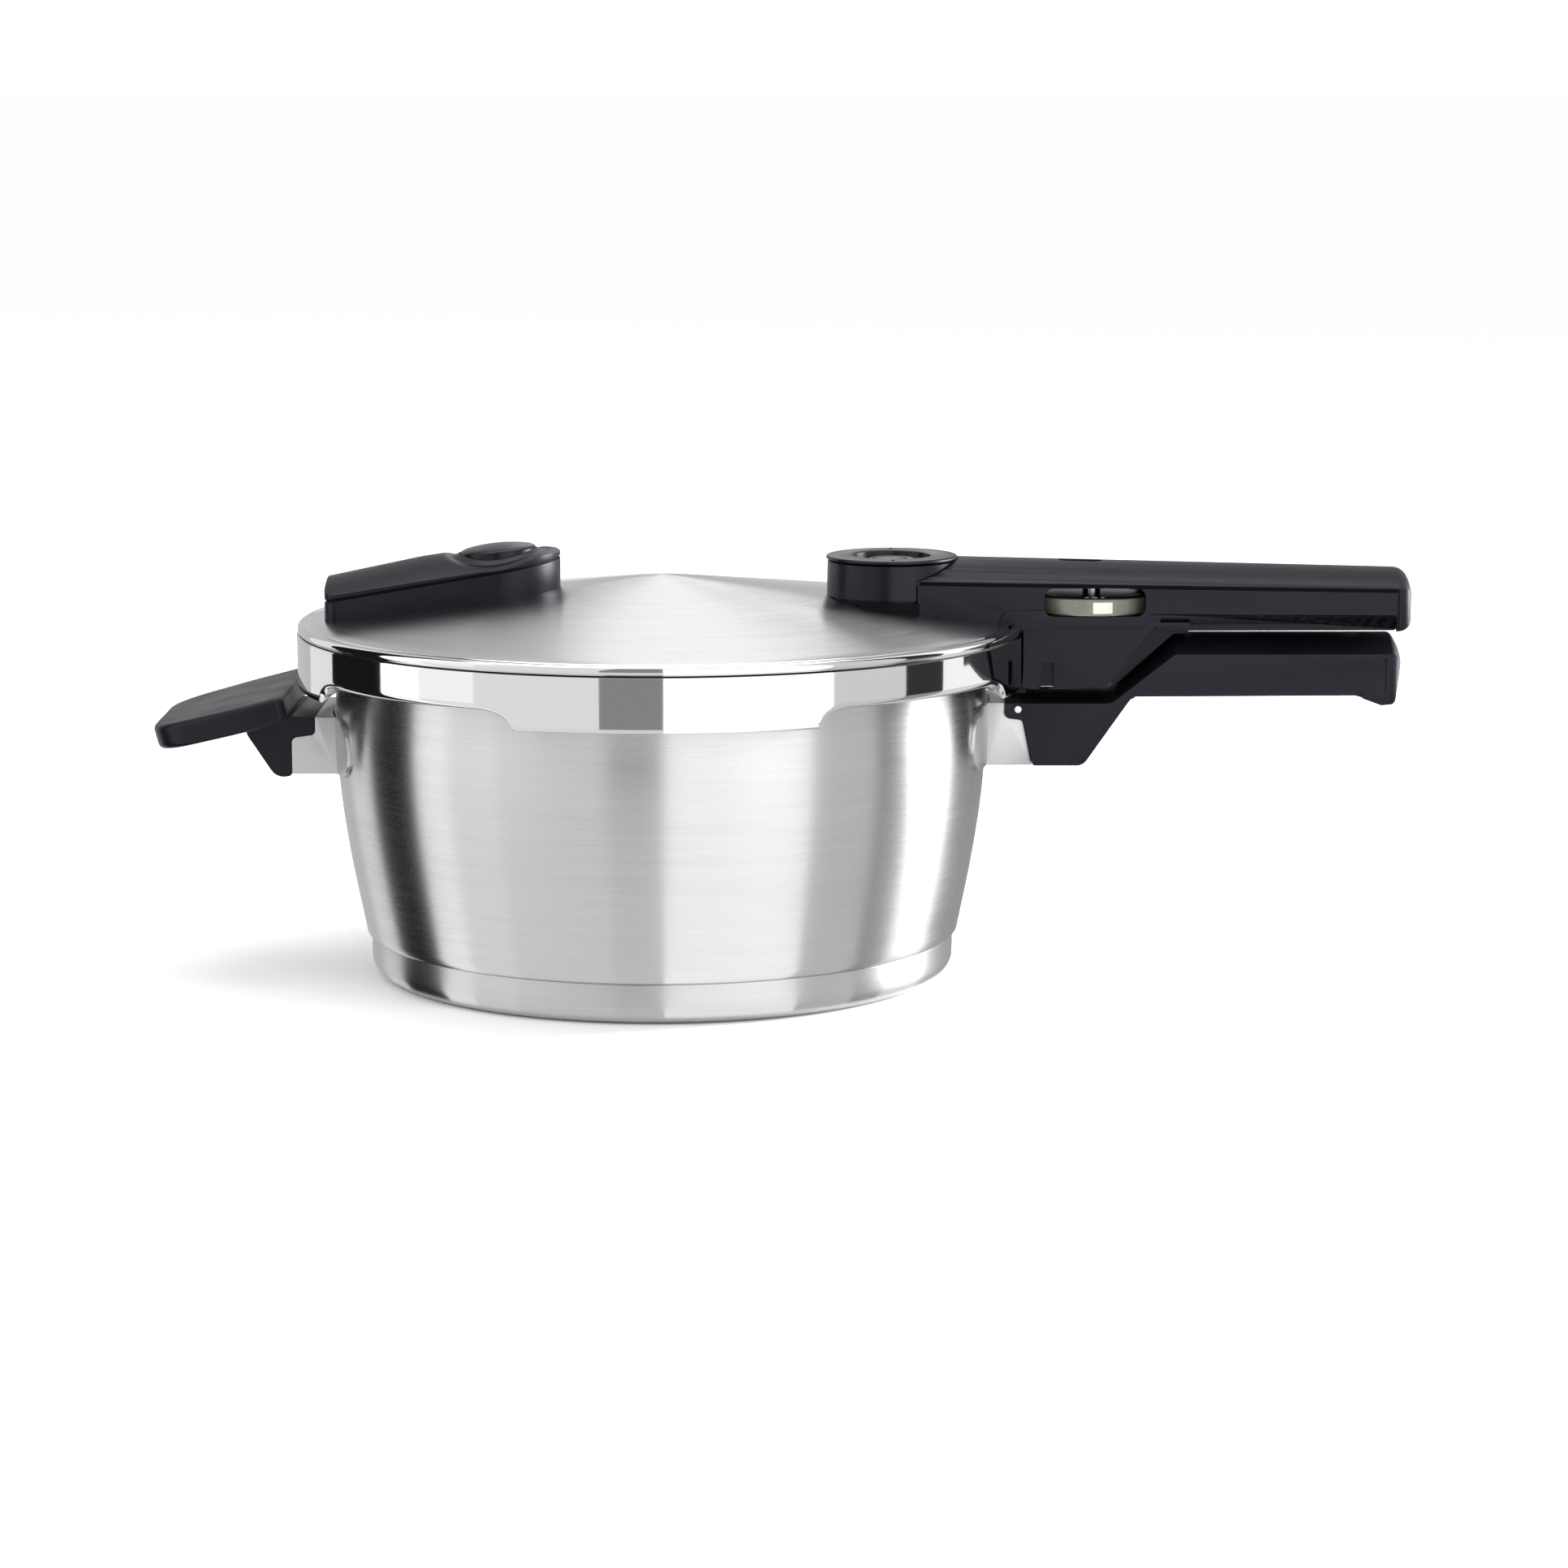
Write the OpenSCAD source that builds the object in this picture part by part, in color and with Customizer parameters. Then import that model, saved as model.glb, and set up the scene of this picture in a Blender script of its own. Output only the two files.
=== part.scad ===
// Stovetop pressure cooker with a bayonet lid, a long double handle and a valve head.
// Origin: centre of the base's underside. +X points along the long handles, +Z is up.

/* [Pot] */
// Outer radius of the wall just above the base seam
foot_r = 99.5; // [98:0.5:101]
// Outer radius of the wall under the lid
wall_r = 109.2; // [108.8:0.1:109.6]
// Thickness of the wall and the floor
wall_t = 1.2; // [0.8:0.1:1.5]
// Height of the seam between the base and the wall
seam_z = 13.8; // [13:0.2:15]
// Height where the wall stops leaning outward
straight_z = 86; // [80:1:92]
// Height of the top of the rim flange
rim_z = 107.4; // [107.2:0.1:107.6]

/* [Lid] */
// Outer radius of the lid skirt
lid_r = 121.8; // [121.4:0.1:122]
// Height of the lid's apex
apex_z = 134.3; // [134:0.1:134.6]
// Slope of the lid cone in degrees
cone_deg = 7.5; // [7.4:0.05:7.6]
// Thickness of the lid sheet
lid_t = 1.2; // [0.8:0.1:1.4]
// Height of the skirt's lower edge between the lugs
skirt_z = 98; // [97.5:0.1:98.5]
// Angle by which each pair of lugs sits past the diagonal
lug_index = 47.1; // [45:0.1:48]
// Angular width of each lug
lug_deg = 38; // [30:1:40]

/* [Handles] */
// Half width of the long handles at their far end
handle_hw = 17.5; // [17:0.1:17.6]
// Half width of the lid handle beside the valve head
handle_root_hw = 21; // [20.6:0.1:21.4]
// Far end of the lid handle
handle_end = 250; // [240:1:252]
// Half width of the side grip
side_grip_hw = 38; // [34:1:40]
// Tilt of the side grip in degrees
side_grip_tilt = 14.5; // [12:0.5:16]
// Radius of the round end of the helper grip
helper_r = 20.8; // [19:0.2:21.5]

/* [Valve and selector] */
// Distance of the valve head from the pot's axis
valve_x = 77.3; // [76.8:0.1:77.6]
// Radius of the valve head
valve_r = 22; // [21.6:0.1:22.2]
// Distance of the selector dial from the pot's axis
dial_x = 144.3; // [143.5:0.1:145]
// Radius of the selector dial
dial_r = 20.9; // [20.6:0.1:21]

/* [Hidden] */
$fn = 96;
fit = 0.05;
steel = "silver";
plastic = "#1f2126";

// Pot
core_r = 96;
capsule_r = 98.2;
capsule_t = 0.8;
capsule_round = 6.5;
floor_z = seam_z - 4;
base_step_r = capsule_r - capsule_t - 0.1;
wall_steps = 12;
flange_r = 112.5;
flange_t = 2;
pot_lug_r = 117.5;

// Lid
slope = tan(cone_deg);
cone_edge_r = 118;
shoulder_r = 3.6;
shoulder_z = 115.2;
lug_gap = 0.4;
lid_lug_t = 1.6;
short_z = rim_z - flange_t - lug_gap - lid_lug_t;
lid_lug_in_r = 113.4;
cutout_deg = 43.2;
lug_angles = [for (i = [0:3]) lug_index + 90 * i];

// Long handles
pot_handle_hw = handle_hw - 0.5;
handle_top_z = 140.4;
handle_end_top_z = 136;
handle_split_z = 118;
tray_z = 116.6;
handle_crown_r = 35;
shell_t = 1.8;
pot_handle_crown_r = 29.4;
pot_handle_top_z = 113.6;
sleeve_hw = 15;
sleeve_z = [71.5, 92.6];
neck_z = 82;
neck_top_z = 95.4;
block_z = 98.1;
screw_xs = [176, 232];

// Side grip
left_sleeve_hw = 24;
left_sleeve_z = [69.8, 88.9];
grip_tip_x = -169;
grip_t = 8.5;

// Helper grip on the lid
helper_x = -54.2;
helper_end_x = -112.5;
helper_crown_r = 38;

// Valve
head_split_z = 138.9;
crown_z = 140.5;
hub_r = 14;
hub_z = 136;
recess_r = 13;
recess_z = 138.2;
button_r = 8;
button_z = [135.6, 139.6];
stem_r = 3.5;
neck_r = 6;

// Selector and lock
dial_z = [122.1, 127.6];
slot_z = [121.8, 131.3];
slot_hl = 16.9;
bolt_x = 128.7;
bolt_r = 1.9;
bolt_z = [98.6, 121.6];
window_x = 140.2;
plate_z = [131.5, 133.3];

// Vent and fixing screw, side by side under the lid handle
vent_pos = [103, 9.5];
fixing_pos = [103, -9.5];

// Outer radius of the pot wall at height z: a quarter sine from the seam to the straight part
function wall_at(z) = foot_r + (wall_r - foot_r) * sin(90 * (z - seam_z) / (straight_z - seam_z));
// Height of the lid's outer and inner cone faces at radius r
function lid_out(r) = apex_z - slope * r;
function lid_in(r) = lid_out(r) - lid_t / cos(cone_deg);
// Points on an arc
function arc(cx, cy, r, a0, a1, n) =
    [for (i = [0:n]) let (a = a0 + (a1 - a0) * i / n) [cx + r * cos(a), cy + r * sin(a)]];
// Heights of the wall's curve, from the seam up
function wall_heights(z0) = [for (i = [0:wall_steps]) z0 + (straight_z - z0) * i / wall_steps];
// Height of the lid handle's crowned top at distance x
function handle_top(x) =
    handle_top_z - (handle_top_z - handle_end_top_z) * (x - valve_x) / (handle_end - valve_x);

// ---------- shared shapes ----------

module along_x(x, z, r, h) translate([x, 0, z]) rotate([0, 90, 0]) cylinder(r = r, h = h);

module side_extrude(hw) rotate([90, 0, 0]) translate([0, 0, -hw]) linear_extrude(2 * hw) children();

module tube(r_out, r_in, z0, z1) difference() {
    translate([0, 0, z0]) cylinder(r = r_out, h = z1 - z0);
    translate([0, 0, z0 - 1]) cylinder(r = r_in, h = z1 - z0 + 2);
}

// Round bar along X whose top falls from z0 at x0 to z1 at x1
module crown_bar(x0, z0, x1, z1, r) {
    fall = atan((z0 - z1) / (x1 - x0));
    translate([x0, 0, z0]) rotate([0, 90 + fall, 0]) translate([r, 0, 0])
        cylinder(r = r, h = (x1 - x0) / cos(fall));
}

// Everything below the lid's outer face
module under_lid() rotate_extrude() polygon(concat(
    [[0, 60], [lid_r, 60]],
    arc(lid_r - shoulder_r, shoulder_z, shoulder_r, 0, 75, 6),
    [[cone_edge_r, lid_out(cone_edge_r)], [0, lid_out(0)]]
));

// Everything below the lid's inner face
module under_lid_sheet() rotate_extrude()
    polygon([[0, 60], [cone_edge_r, 60], [cone_edge_r, lid_in(cone_edge_r)], [0, lid_in(0)]]);

module countersunk_up(r, head_r, head_h, z0, z1) {
    translate([0, 0, z0]) cylinder(r = head_r, h = head_h);
    translate([0, 0, z0]) cylinder(r = r, h = z1 - z0);
}

// Curved weld plate that hugs the wall, centred on +X
module weld_pad(half_deg, z, t) rotate_extrude(start = -half_deg, angle = 2 * half_deg)
    polygon([[wall_r, z[0]], [wall_r + t, z[0]], [wall_r + t, z[1]], [wall_r, z[1]]]);

// ---------- pot ----------

module pot_profile() {
    inner_foot = foot_r - wall_t - 1;
    polygon(concat(
        [[0, floor_z], [base_step_r, floor_z], [base_step_r, seam_z]],
        [for (z = wall_heights(seam_z + 0.8)) [wall_at(z), z]],
        [[wall_r, rim_z - flange_t], [flange_r, rim_z - flange_t], [flange_r, rim_z]],
        [[wall_r - wall_t, rim_z], [wall_r - wall_t, straight_z]],
        [for (i = [wall_steps - 1:-1:1]) let (z = wall_heights(18)[i]) [wall_at(z) - wall_t, z]],
        arc(inner_foot - 7, 18, 7, 0, -90, 6),
        [[0, floor_z + wall_t]]
    ));
}

module pot_body() color(steel) {
    rotate_extrude() pot_profile();
    for (a = lug_angles) rotate_extrude(start = a - lug_deg / 2, angle = lug_deg)
        translate([flange_r - 1, rim_z - flange_t]) square([pot_lug_r - flange_r + 1, flange_t]);
}

module base_core() color("lightgray") rotate_extrude() polygon(concat(
    [[0, capsule_t]],
    arc(core_r - capsule_round, capsule_round, capsule_round - capsule_t, -90, 0, 6),
    [[core_r - capsule_t, floor_z], [0, floor_z]]
));

module base_capsule() color(steel) rotate_extrude() polygon(concat(
    [[0, 0]],
    arc(capsule_r - capsule_round, capsule_round, capsule_round, -90, 0, 6),
    [[capsule_r, seam_z], [capsule_r - capsule_t, seam_z]],
    arc(capsule_r - capsule_round, capsule_round, capsule_round - capsule_t, 0, -90, 6),
    [[0, capsule_t]]
));

// ---------- pot handle ----------

module handle_bracket() color(steel) difference() {
    union() {
        weld_pad(19, sleeve_z, 1.2);
        along_x(wall_r + 1, neck_z, 5, 9);
    }
    along_x(wall_r + 1.4, neck_z, 2.5, 20);
}

module sleeve_outline() polygon([
    [104, sleeve_z[0]], [124, sleeve_z[0]], [121, 86.9], [115.2, 87.4], [115.2, sleeve_z[1]],
    [104, sleeve_z[1]]
]);

module handle_sleeve() color(steel) difference() {
    side_extrude(sleeve_hw) sleeve_outline();
    translate([100, 2 - sleeve_hw, sleeve_z[0] + 2])
        cube([30, 2 * sleeve_hw - 4, sleeve_z[1] - sleeve_z[0] - 4]);
    cylinder(r = wall_r + 1.2, h = 120);
}

module pot_handle_outline() polygon([
    [124.1, sleeve_z[0]], [140.5, 71.6], [143.5, 73.5], [156.7, 93.5], [159, 94.8], [232, 94.8],
    [240, 92.2], [244.8, 92.6], [246.6, 110.2], [244.6, 113.8], [172, 113.8], [167.6, 112.2],
    [150.2, neck_top_z], [114.8, neck_top_z], [114.8, 92.7], [115.3, 92.6], [115.3, 87.5],
    [121.1, 87]
]);

module pot_handle() color(plastic) difference() {
    union() {
        intersection() {
            side_extrude(pot_handle_hw) pot_handle_outline();
            crown_bar(100, pot_handle_top_z, 260, pot_handle_top_z, pot_handle_crown_r);
        }
        translate([wall_r + 2, 2.1 - sleeve_hw, sleeve_z[0] + 2.1])
            cube([16, 2 * sleeve_hw - 4.2, sleeve_z[1] - sleeve_z[0] - 4.2]);
    }
    along_x(wall_r, neck_z, 5.05, 10);
    along_x(wall_r, neck_z, 2.6, 30);
    along_x(135, neck_z, 5, 30);
    translate([bolt_x, 0, neck_top_z - 8]) cylinder(r = 2.4, h = 10);
    translate([119.2, 0, 90.5]) rotate([90, 0, 0]) cylinder(r = 1.2, h = 50, center = true);
}

module pot_handle_screw() color(steel) {
    along_x(wall_r + 2, neck_z, 2.45, 25);
    along_x(132.2, neck_z, 2.45, 3);
    along_x(135, neck_z, 4.6, 3);
}

module pot_handle_pin() color(steel) translate([119.2, 0, 90.5]) rotate([90, 0, 0])
    cylinder(r = 1.2, h = 2 * pot_handle_hw + 0.4, center = true);

// ---------- side grip, opposite the long handle ----------

module grip_bracket() color(steel) mirror([1, 0, 0]) difference() {
    union() {
        weld_pad(22, left_sleeve_z, 1.2);
        along_x(wall_r + 1, 79, 5, 8);
    }
    along_x(wall_r + 1.4, 79, 2.5, 20);
}

module grip_sleeve() color(steel) mirror([1, 0, 0]) difference() {
    side_extrude(left_sleeve_hw) polygon([
        [98, left_sleeve_z[0]], [122.3, left_sleeve_z[0]], [122.3, 82.1], [114.5, 83],
        [114.5, left_sleeve_z[1]], [98, left_sleeve_z[1]]
    ]);
    translate([90, 2 - left_sleeve_hw, left_sleeve_z[0] + 2])
        cube([40, 2 * left_sleeve_hw - 4, left_sleeve_z[1] - left_sleeve_z[0] - 4]);
    cylinder(r = wall_r + 1.2, h = 120);
}

// Plan of the side grip's plate, measured along the tilted plate from its root
module grip_plan() {
    len = (-grip_tip_x - 124) / cos(side_grip_tilt);
    corner = 17;
    translate([0, -side_grip_hw]) square([len - corner, 2 * side_grip_hw]);
    translate([0, corner - side_grip_hw]) square([len, 2 * (side_grip_hw - corner)]);
    for (s = [-1, 1]) translate([len - corner, s * (side_grip_hw - corner)]) circle(r = corner);
}

module side_grip() color(plastic) mirror([1, 0, 0]) difference() {
    union() {
        translate([124, 0, 97.5]) rotate([0, side_grip_tilt, 0])
            translate([0, 0, -grip_t]) linear_extrude(grip_t) grip_plan();
        intersection() {
            side_extrude(left_sleeve_hw) polygon([
                [122.4, 68.6], [140, 68.6], [140, 90], [122.8, 96], [122.8, 89.5], [114.6, 89],
                [114.6, 83.1], [122.4, 82.2]
            ]);
            translate([116.5, 0, 87]) rotate([90, 0, 0]) cylinder(r = 19, h = 60, center = true);
        }
        translate([wall_r + 2, 2.1 - left_sleeve_hw, left_sleeve_z[0] + 2.1])
            cube([16, 2 * left_sleeve_hw - 4.2, left_sleeve_z[1] - left_sleeve_z[0] - 4.2]);
    }
    along_x(wall_r, 79, 5.05, 9);
    along_x(wall_r, 79, 2.6, 30);
    along_x(128, 79, 5, 20);
}

module side_grip_screw() color(steel) mirror([1, 0, 0]) {
    along_x(wall_r + 2, 79, 2.45, 17);
    along_x(128, 79, 4.6, 3);
}

// ---------- lid ----------

module lid_profile() polygon(concat(
    [[0, lid_out(0)], [cone_edge_r, lid_out(cone_edge_r)]],
    arc(lid_r - shoulder_r, shoulder_z, shoulder_r, 75, 0, 6),
    [[lid_r, skirt_z], [lid_r - lid_t, skirt_z]],
    arc(lid_r - shoulder_r, shoulder_z, shoulder_r - lid_t, 0, 75, 6),
    [[cone_edge_r, lid_in(cone_edge_r)], [0, lid_in(0)]]
));

module lid_shell() color(steel) difference() {
    union() {
        difference() {
            rotate_extrude() lid_profile();
            for (a = lug_angles) rotate_extrude(start = a - cutout_deg / 2, angle = cutout_deg)
                translate([lid_r - 5, skirt_z - 5]) square([10, short_z - skirt_z + 5]);
        }
        for (a = lug_angles) rotate_extrude(start = a - lug_deg / 2, angle = lug_deg)
            translate([lid_lug_in_r, short_z])
                square([lid_r - lid_t / 2 - lid_lug_in_r, lid_lug_t]);
    }
    translate([valve_x, 0, 100]) cylinder(r = neck_r + 0.1, h = 40);
    translate([vent_pos[0], vent_pos[1], 100]) cylinder(r = 3.1, h = 40);
    translate([fixing_pos[0], fixing_pos[1], 100]) cylinder(r = 2.6, h = 40);
    translate([helper_x, 0, 100]) cylinder(r = 2.6, h = 40);
}

// Silicone ring with a lip that rests on the pot's rim
module gasket() color("whitesmoke") rotate_extrude() polygon([
    [107, rim_z + 0.4], [120.4, rim_z + 0.4], [120.4, shoulder_z], [117.6, lid_in(117.6)],
    [109, lid_in(109)], [109, lid_in(109) - 2], [116.6, lid_in(116.6) - 2], [117.2, rim_z + 3],
    [107, rim_z + 2]
]);

// ---------- lid handle ----------

module handle_plan(inset) {
    x0 = valve_x + 1;
    corner = 4 - inset / 2;
    x1 = handle_end - inset;
    y0 = handle_root_hw - inset;
    y1 = handle_hw - inset;
    polygon([[x0, -y0], [x1 - corner, -y1], [x1 - corner, y1], [x0, y0]]);
    translate([x1 - corner - 1, corner - y1]) square([corner + 1, 2 * (y1 - corner)]);
    for (s = [-1, 1]) translate([x1 - corner, s * (y1 - corner)]) circle(r = corner);
}

module handle_solid(inset, z0) intersection() {
    translate([0, 0, z0]) linear_extrude(40) handle_plan(inset);
    crown_bar(valve_x, handle_top_z - inset, handle_end, handle_end_top_z - inset,
              handle_crown_r - inset);
}

module selector_slot() side_extrude(handle_hw + 5) {
    r = (slot_z[1] - slot_z[0]) / 2;
    for (s = [-1, 1]) translate([dial_x + s * (slot_hl - r), slot_z[0] + r]) circle(r = r);
    translate([dial_x - slot_hl + r, slot_z[0]]) square([2 * (slot_hl - r), 2 * r]);
}

module window_outline(inset) {
    for (s = [-1, 1]) translate([window_x + s * 4.2, 0]) circle(r = 3.5 - inset);
    translate([window_x - 4.2, inset - 3.5]) square([8.4, 7 - 2 * inset]);
}

module lid_handle_top() color(plastic) difference() {
    union() {
        difference() {
            handle_solid(0, 100);
            handle_solid(shell_t, 99);
        }
        intersection() {
            translate([fixing_pos[0], fixing_pos[1], 100]) cylinder(r = 4.5, h = 50);
            handle_solid(0, 100);
        }
        intersection() {
            for (x = screw_xs) translate([x, 0, handle_split_z + 2.2]) cylinder(r = 4, h = 30);
            handle_solid(0, 100);
        }
    }
    under_lid();
    translate([cone_edge_r - 8, -30, 90]) cube([150, 60, handle_split_z - 90]);
    translate([valve_x, 0, 90]) cylinder(r = valve_r + 0.4, h = 60);
    translate([fixing_pos[0], fixing_pos[1], 100]) cylinder(r = 2.5, h = 28);
    for (x = screw_xs) translate([x, 0, 110]) cylinder(r = 1.6, h = 20);
    selector_slot();
    translate([0, 0, 130]) linear_extrude(20) window_outline(0);
}

module lid_handle_base() color(plastic) difference() {
    union() {
        translate([cone_edge_r + 4, 0.1 + shell_t - handle_hw, handle_split_z])
            cube([handle_end - cone_edge_r - 7, 2 * (handle_hw - shell_t) - 0.2, 2]);
        translate([cone_edge_r + 48, 2.5 - handle_hw, tray_z])
            cube([handle_end - cone_edge_r - 51, 2 * handle_hw - 5, handle_split_z + 0.5 - tray_z]);
        side_extrude(handle_hw + 1) polygon([
            [lid_r + 0.5, block_z], [148.3, block_z], [163.6, handle_split_z],
            [lid_r - 2.3, handle_split_z], [lid_r + 0.5, 114.5]
        ]);
    }
    translate([bolt_x, 0, block_z - 1]) cylinder(r = bolt_r + fit, h = 40);
    translate([bolt_x, 0, 108]) cylinder(r = 3.6, h = 9.9);
    translate([bolt_x - 2.1, -30, block_z - 1]) cube([4.2, 60, 9.5]);
    for (x = screw_xs) translate([x, 0, 110]) cylinder(r = 1.6, h = 20);
    for (x = screw_xs) translate([x, 0, 110]) cylinder(r = 3.1, h = handle_split_z - 110);
    cylinder(r = lid_r, h = shoulder_z + 3.4);
}

module handle_screws() color(steel) for (x = screw_xs) translate([x, 0, 0])
    countersunk_up(1.55, 3, 1.4, handle_split_z - 1.4, handle_split_z + 11);

module handle_fixing_screw() color(steel) translate([fixing_pos[0], fixing_pos[1], 0])
    countersunk_up(2.45, 4.5, 3, lid_in(norm(fixing_pos) + 4.6) - 3, 127);

// ---------- valve head ----------

module valve_housing() color(plastic) difference() {
    union() {
        difference() {
            translate([valve_x, 0, 110]) cylinder(r = valve_r - 0.3, h = head_split_z - 110);
            under_lid();
        }
        translate([valve_x, 0, 114]) cylinder(r = neck_r, h = 13);
    }
    translate([valve_x, 0, 100]) cylinder(r = stem_r + fit, h = 40);
    translate([valve_x, 0, 126.1]) cylinder(r = button_r + 0.3, h = 20);
    translate([valve_x, 0, hub_z - 0.3]) cylinder(r = hub_r + 0.3, h = 20);
}

module valve_nut() color(steel) translate([valve_x, 0, 0]) tube(12, neck_r + fit, 114.5, 119.5);

module valve_seal() color("whitesmoke") intersection() {
    translate([valve_x, 0, 0]) tube(10.5, neck_r + fit, 119.5, 130);
    under_lid_sheet();
}

// Drawn as a plain sleeve of the coil's own size
module valve_spring() color(steel) translate([valve_x, 0, 0]) tube(6.6, 5.2, 126.1, button_z[0]);

module valve_crown() color(plastic) translate([valve_x, 0, 0]) rotate_extrude() polygon([
    [button_r + 0.4, hub_z], [hub_r, hub_z], [hub_r, head_split_z + 0.3],
    [valve_r - 0.3, head_split_z + 0.3], [valve_r, head_split_z + 0.6], [valve_r, crown_z - 0.5],
    [valve_r - 0.5, crown_z], [recess_r, crown_z], [recess_r - 0.3, recess_z],
    [button_r + 0.4, recess_z]
]);

module indicator_pin() color(plastic) translate([valve_x, 0, 0]) {
    translate([0, 0, 112]) cylinder(r = stem_r, h = button_z[0] + 0.5 - 112);
    translate([0, 0, button_z[0]]) cylinder(r = button_r, h = button_z[1] - button_z[0]);
}

module indicator_rings() color("orange") translate([valve_x, 0, 0])
    for (z = [127.6, 130.4]) tube(stem_r + 0.6, stem_r, z, z + 0.8);

// ---------- automatic vent ----------

module vent_body() color(steel) translate([vent_pos[0], vent_pos[1], 0]) difference() {
    union() {
        translate([0, 0, 116]) cylinder(r = 3, h = 8);
        translate([0, 0, 115]) cylinder(r = 4.6, h = 2);
        translate([0, 0, 122.4]) cylinder(r = 4.2, h = 1.6);
    }
    translate([0, 0, 100]) cylinder(r = 1.5 + fit, h = 40);
}

module vent_seal() color("whitesmoke") intersection() {
    translate([vent_pos[0], vent_pos[1], 0]) tube(4.6, 3.05, 117, 130);
    under_lid_sheet();
}

module vent_pin() color(steel) translate([vent_pos[0], vent_pos[1], 0]) {
    translate([0, 0, 111]) cylinder(r = 1.5, h = 14);
    translate([0, 0, 110]) cylinder(r = 2.4, h = 1.2);
}

// ---------- helper grip on the lid ----------

module helper_plan(inset) {
    hw = helper_r - 1 - inset;
    corner = 4;
    translate([helper_x, 0]) circle(r = helper_r - inset);
    translate([helper_end_x + inset + corner, -hw])
        square([helper_x - helper_end_x - inset - corner, 2 * hw]);
    translate([helper_end_x + inset, corner - hw])
        square([helper_x - helper_end_x - inset, 2 * (hw - corner)]);
    for (s = [-1, 1]) translate([helper_end_x + inset + corner, s * (hw - corner)])
        circle(r = corner);
}

module helper_solid(inset) intersection() {
    translate([0, 0, 110]) linear_extrude(50) helper_plan(inset);
    crown_bar(helper_end_x - 2, 133.3 - inset, -20, 148.3 - inset, helper_crown_r - inset);
    translate([-130, -40, 90]) rotate([0, -3, 0]) cube([130, 80, 49.6 - inset]);
}

module helper_grip() color(plastic) difference() {
    union() {
        difference() {
            helper_solid(0);
            helper_solid(2);
        }
        translate([helper_x, 0, 110]) cylinder(r = 5, h = 29.5);
        translate([helper_x, 0, 136.8]) cylinder(r = 14.6, h = 2.7);
    }
    under_lid();
    translate([helper_x, 0, 100]) cylinder(r = 2.5, h = 34);
    translate([helper_x, 0, 139.5]) cylinder(r = 13.2, h = 20);
}

module helper_grip_pad() color(plastic) translate([helper_x, 0, 0]) rotate_extrude() polygon([
    [0, 139.5], [13.1, 139.5], [13.1, 142], [11.5, 143.6], [6, 144.4], [0, 144.6]
]);

module helper_grip_screw() color(steel) translate([helper_x, 0, 0])
    countersunk_up(2.45, 4.5, 3, lid_in(58.7) - 3, 133.5);

// ---------- selector, lock and indicator flag ----------

module window_lens() color([0.6, 0.7, 0.7, 0.5]) intersection() {
    translate([0, 0, handle_top(window_x) - 3]) linear_extrude(6) window_outline(0.1);
    crown_bar(valve_x, handle_top_z - 0.6, handle_end, handle_end_top_z - 0.6,
              handle_crown_r - 0.6);
}

module indicator_flag() color("green")
    translate([window_x - 14, -3, plate_z[1] + 0.2]) cube([20, 6, 0.9]);

module mechanism_plate() color(plastic)
    translate([dial_x - 20, -14, plate_z[0]]) cube([40, 28, plate_z[1] - plate_z[0]]);

module dial_pin() color(steel) translate([dial_x, 0, handle_split_z + 2])
    cylinder(r = 3, h = plate_z[0] - handle_split_z - 2);

module selector_disc() color(plastic) translate([dial_x, 0, 0])
    tube(dial_r - 2, 3 + fit, dial_z[0], dial_z[1] + 0.4);

module selector_ring() color("gray") translate([dial_x, 0, 0]) difference() {
    tube(dial_r, dial_r - 2, dial_z[0], dial_z[1]);
    rotate([0, 0, -76]) translate([dial_r - 1, -4.5, dial_z[0] + 0.8])
        cube([5, 9, dial_z[1] - dial_z[0] - 1.6]);
}

module selector_marker() color("gainsboro") translate([dial_x, 0, 0]) intersection() {
    tube(dial_r + 0.15, dial_r - 1.5, dial_z[0] + 0.8, dial_z[1] - 0.8);
    rotate([0, 0, -76]) translate([dial_r - 1, -4.5, dial_z[0]]) cube([5, 9, 10]);
}

module lock_bolt() color(steel) translate([bolt_x, 0, bolt_z[0]])
    cylinder(r = bolt_r, h = bolt_z[1] - bolt_z[0]);

// Drawn as a plain sleeve of the coil's own size
module lock_spring() color(steel) translate([bolt_x, 0, 0]) tube(3.2, 2.3, 108, 117.8);

pot_body();
base_core();
base_capsule();
handle_bracket();
handle_sleeve();
pot_handle();
pot_handle_screw();
pot_handle_pin();
grip_bracket();
grip_sleeve();
side_grip();
side_grip_screw();
lid_shell();
gasket();
lid_handle_top();
lid_handle_base();
handle_screws();
handle_fixing_screw();
valve_housing();
valve_nut();
valve_seal();
valve_spring();
valve_crown();
indicator_pin();
indicator_rings();
helper_grip();
helper_grip_pad();
helper_grip_screw();
vent_body();
vent_seal();
vent_pin();
window_lens();
indicator_flag();
mechanism_plate();
dial_pin();
selector_disc();
selector_ring();
selector_marker();
lock_bolt();
lock_spring();
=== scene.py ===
"""Visual model of a low stovetop pressure cooker: steel pot, bayonet lid, black handles."""

import logging
from collections.abc import Callable
from dataclasses import dataclass
from enum import Enum
from math import atan2, cos, degrees, pi, radians, sin, sqrt, tan

import bmesh
import bpy
from mathutils import Matrix, Vector


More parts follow.
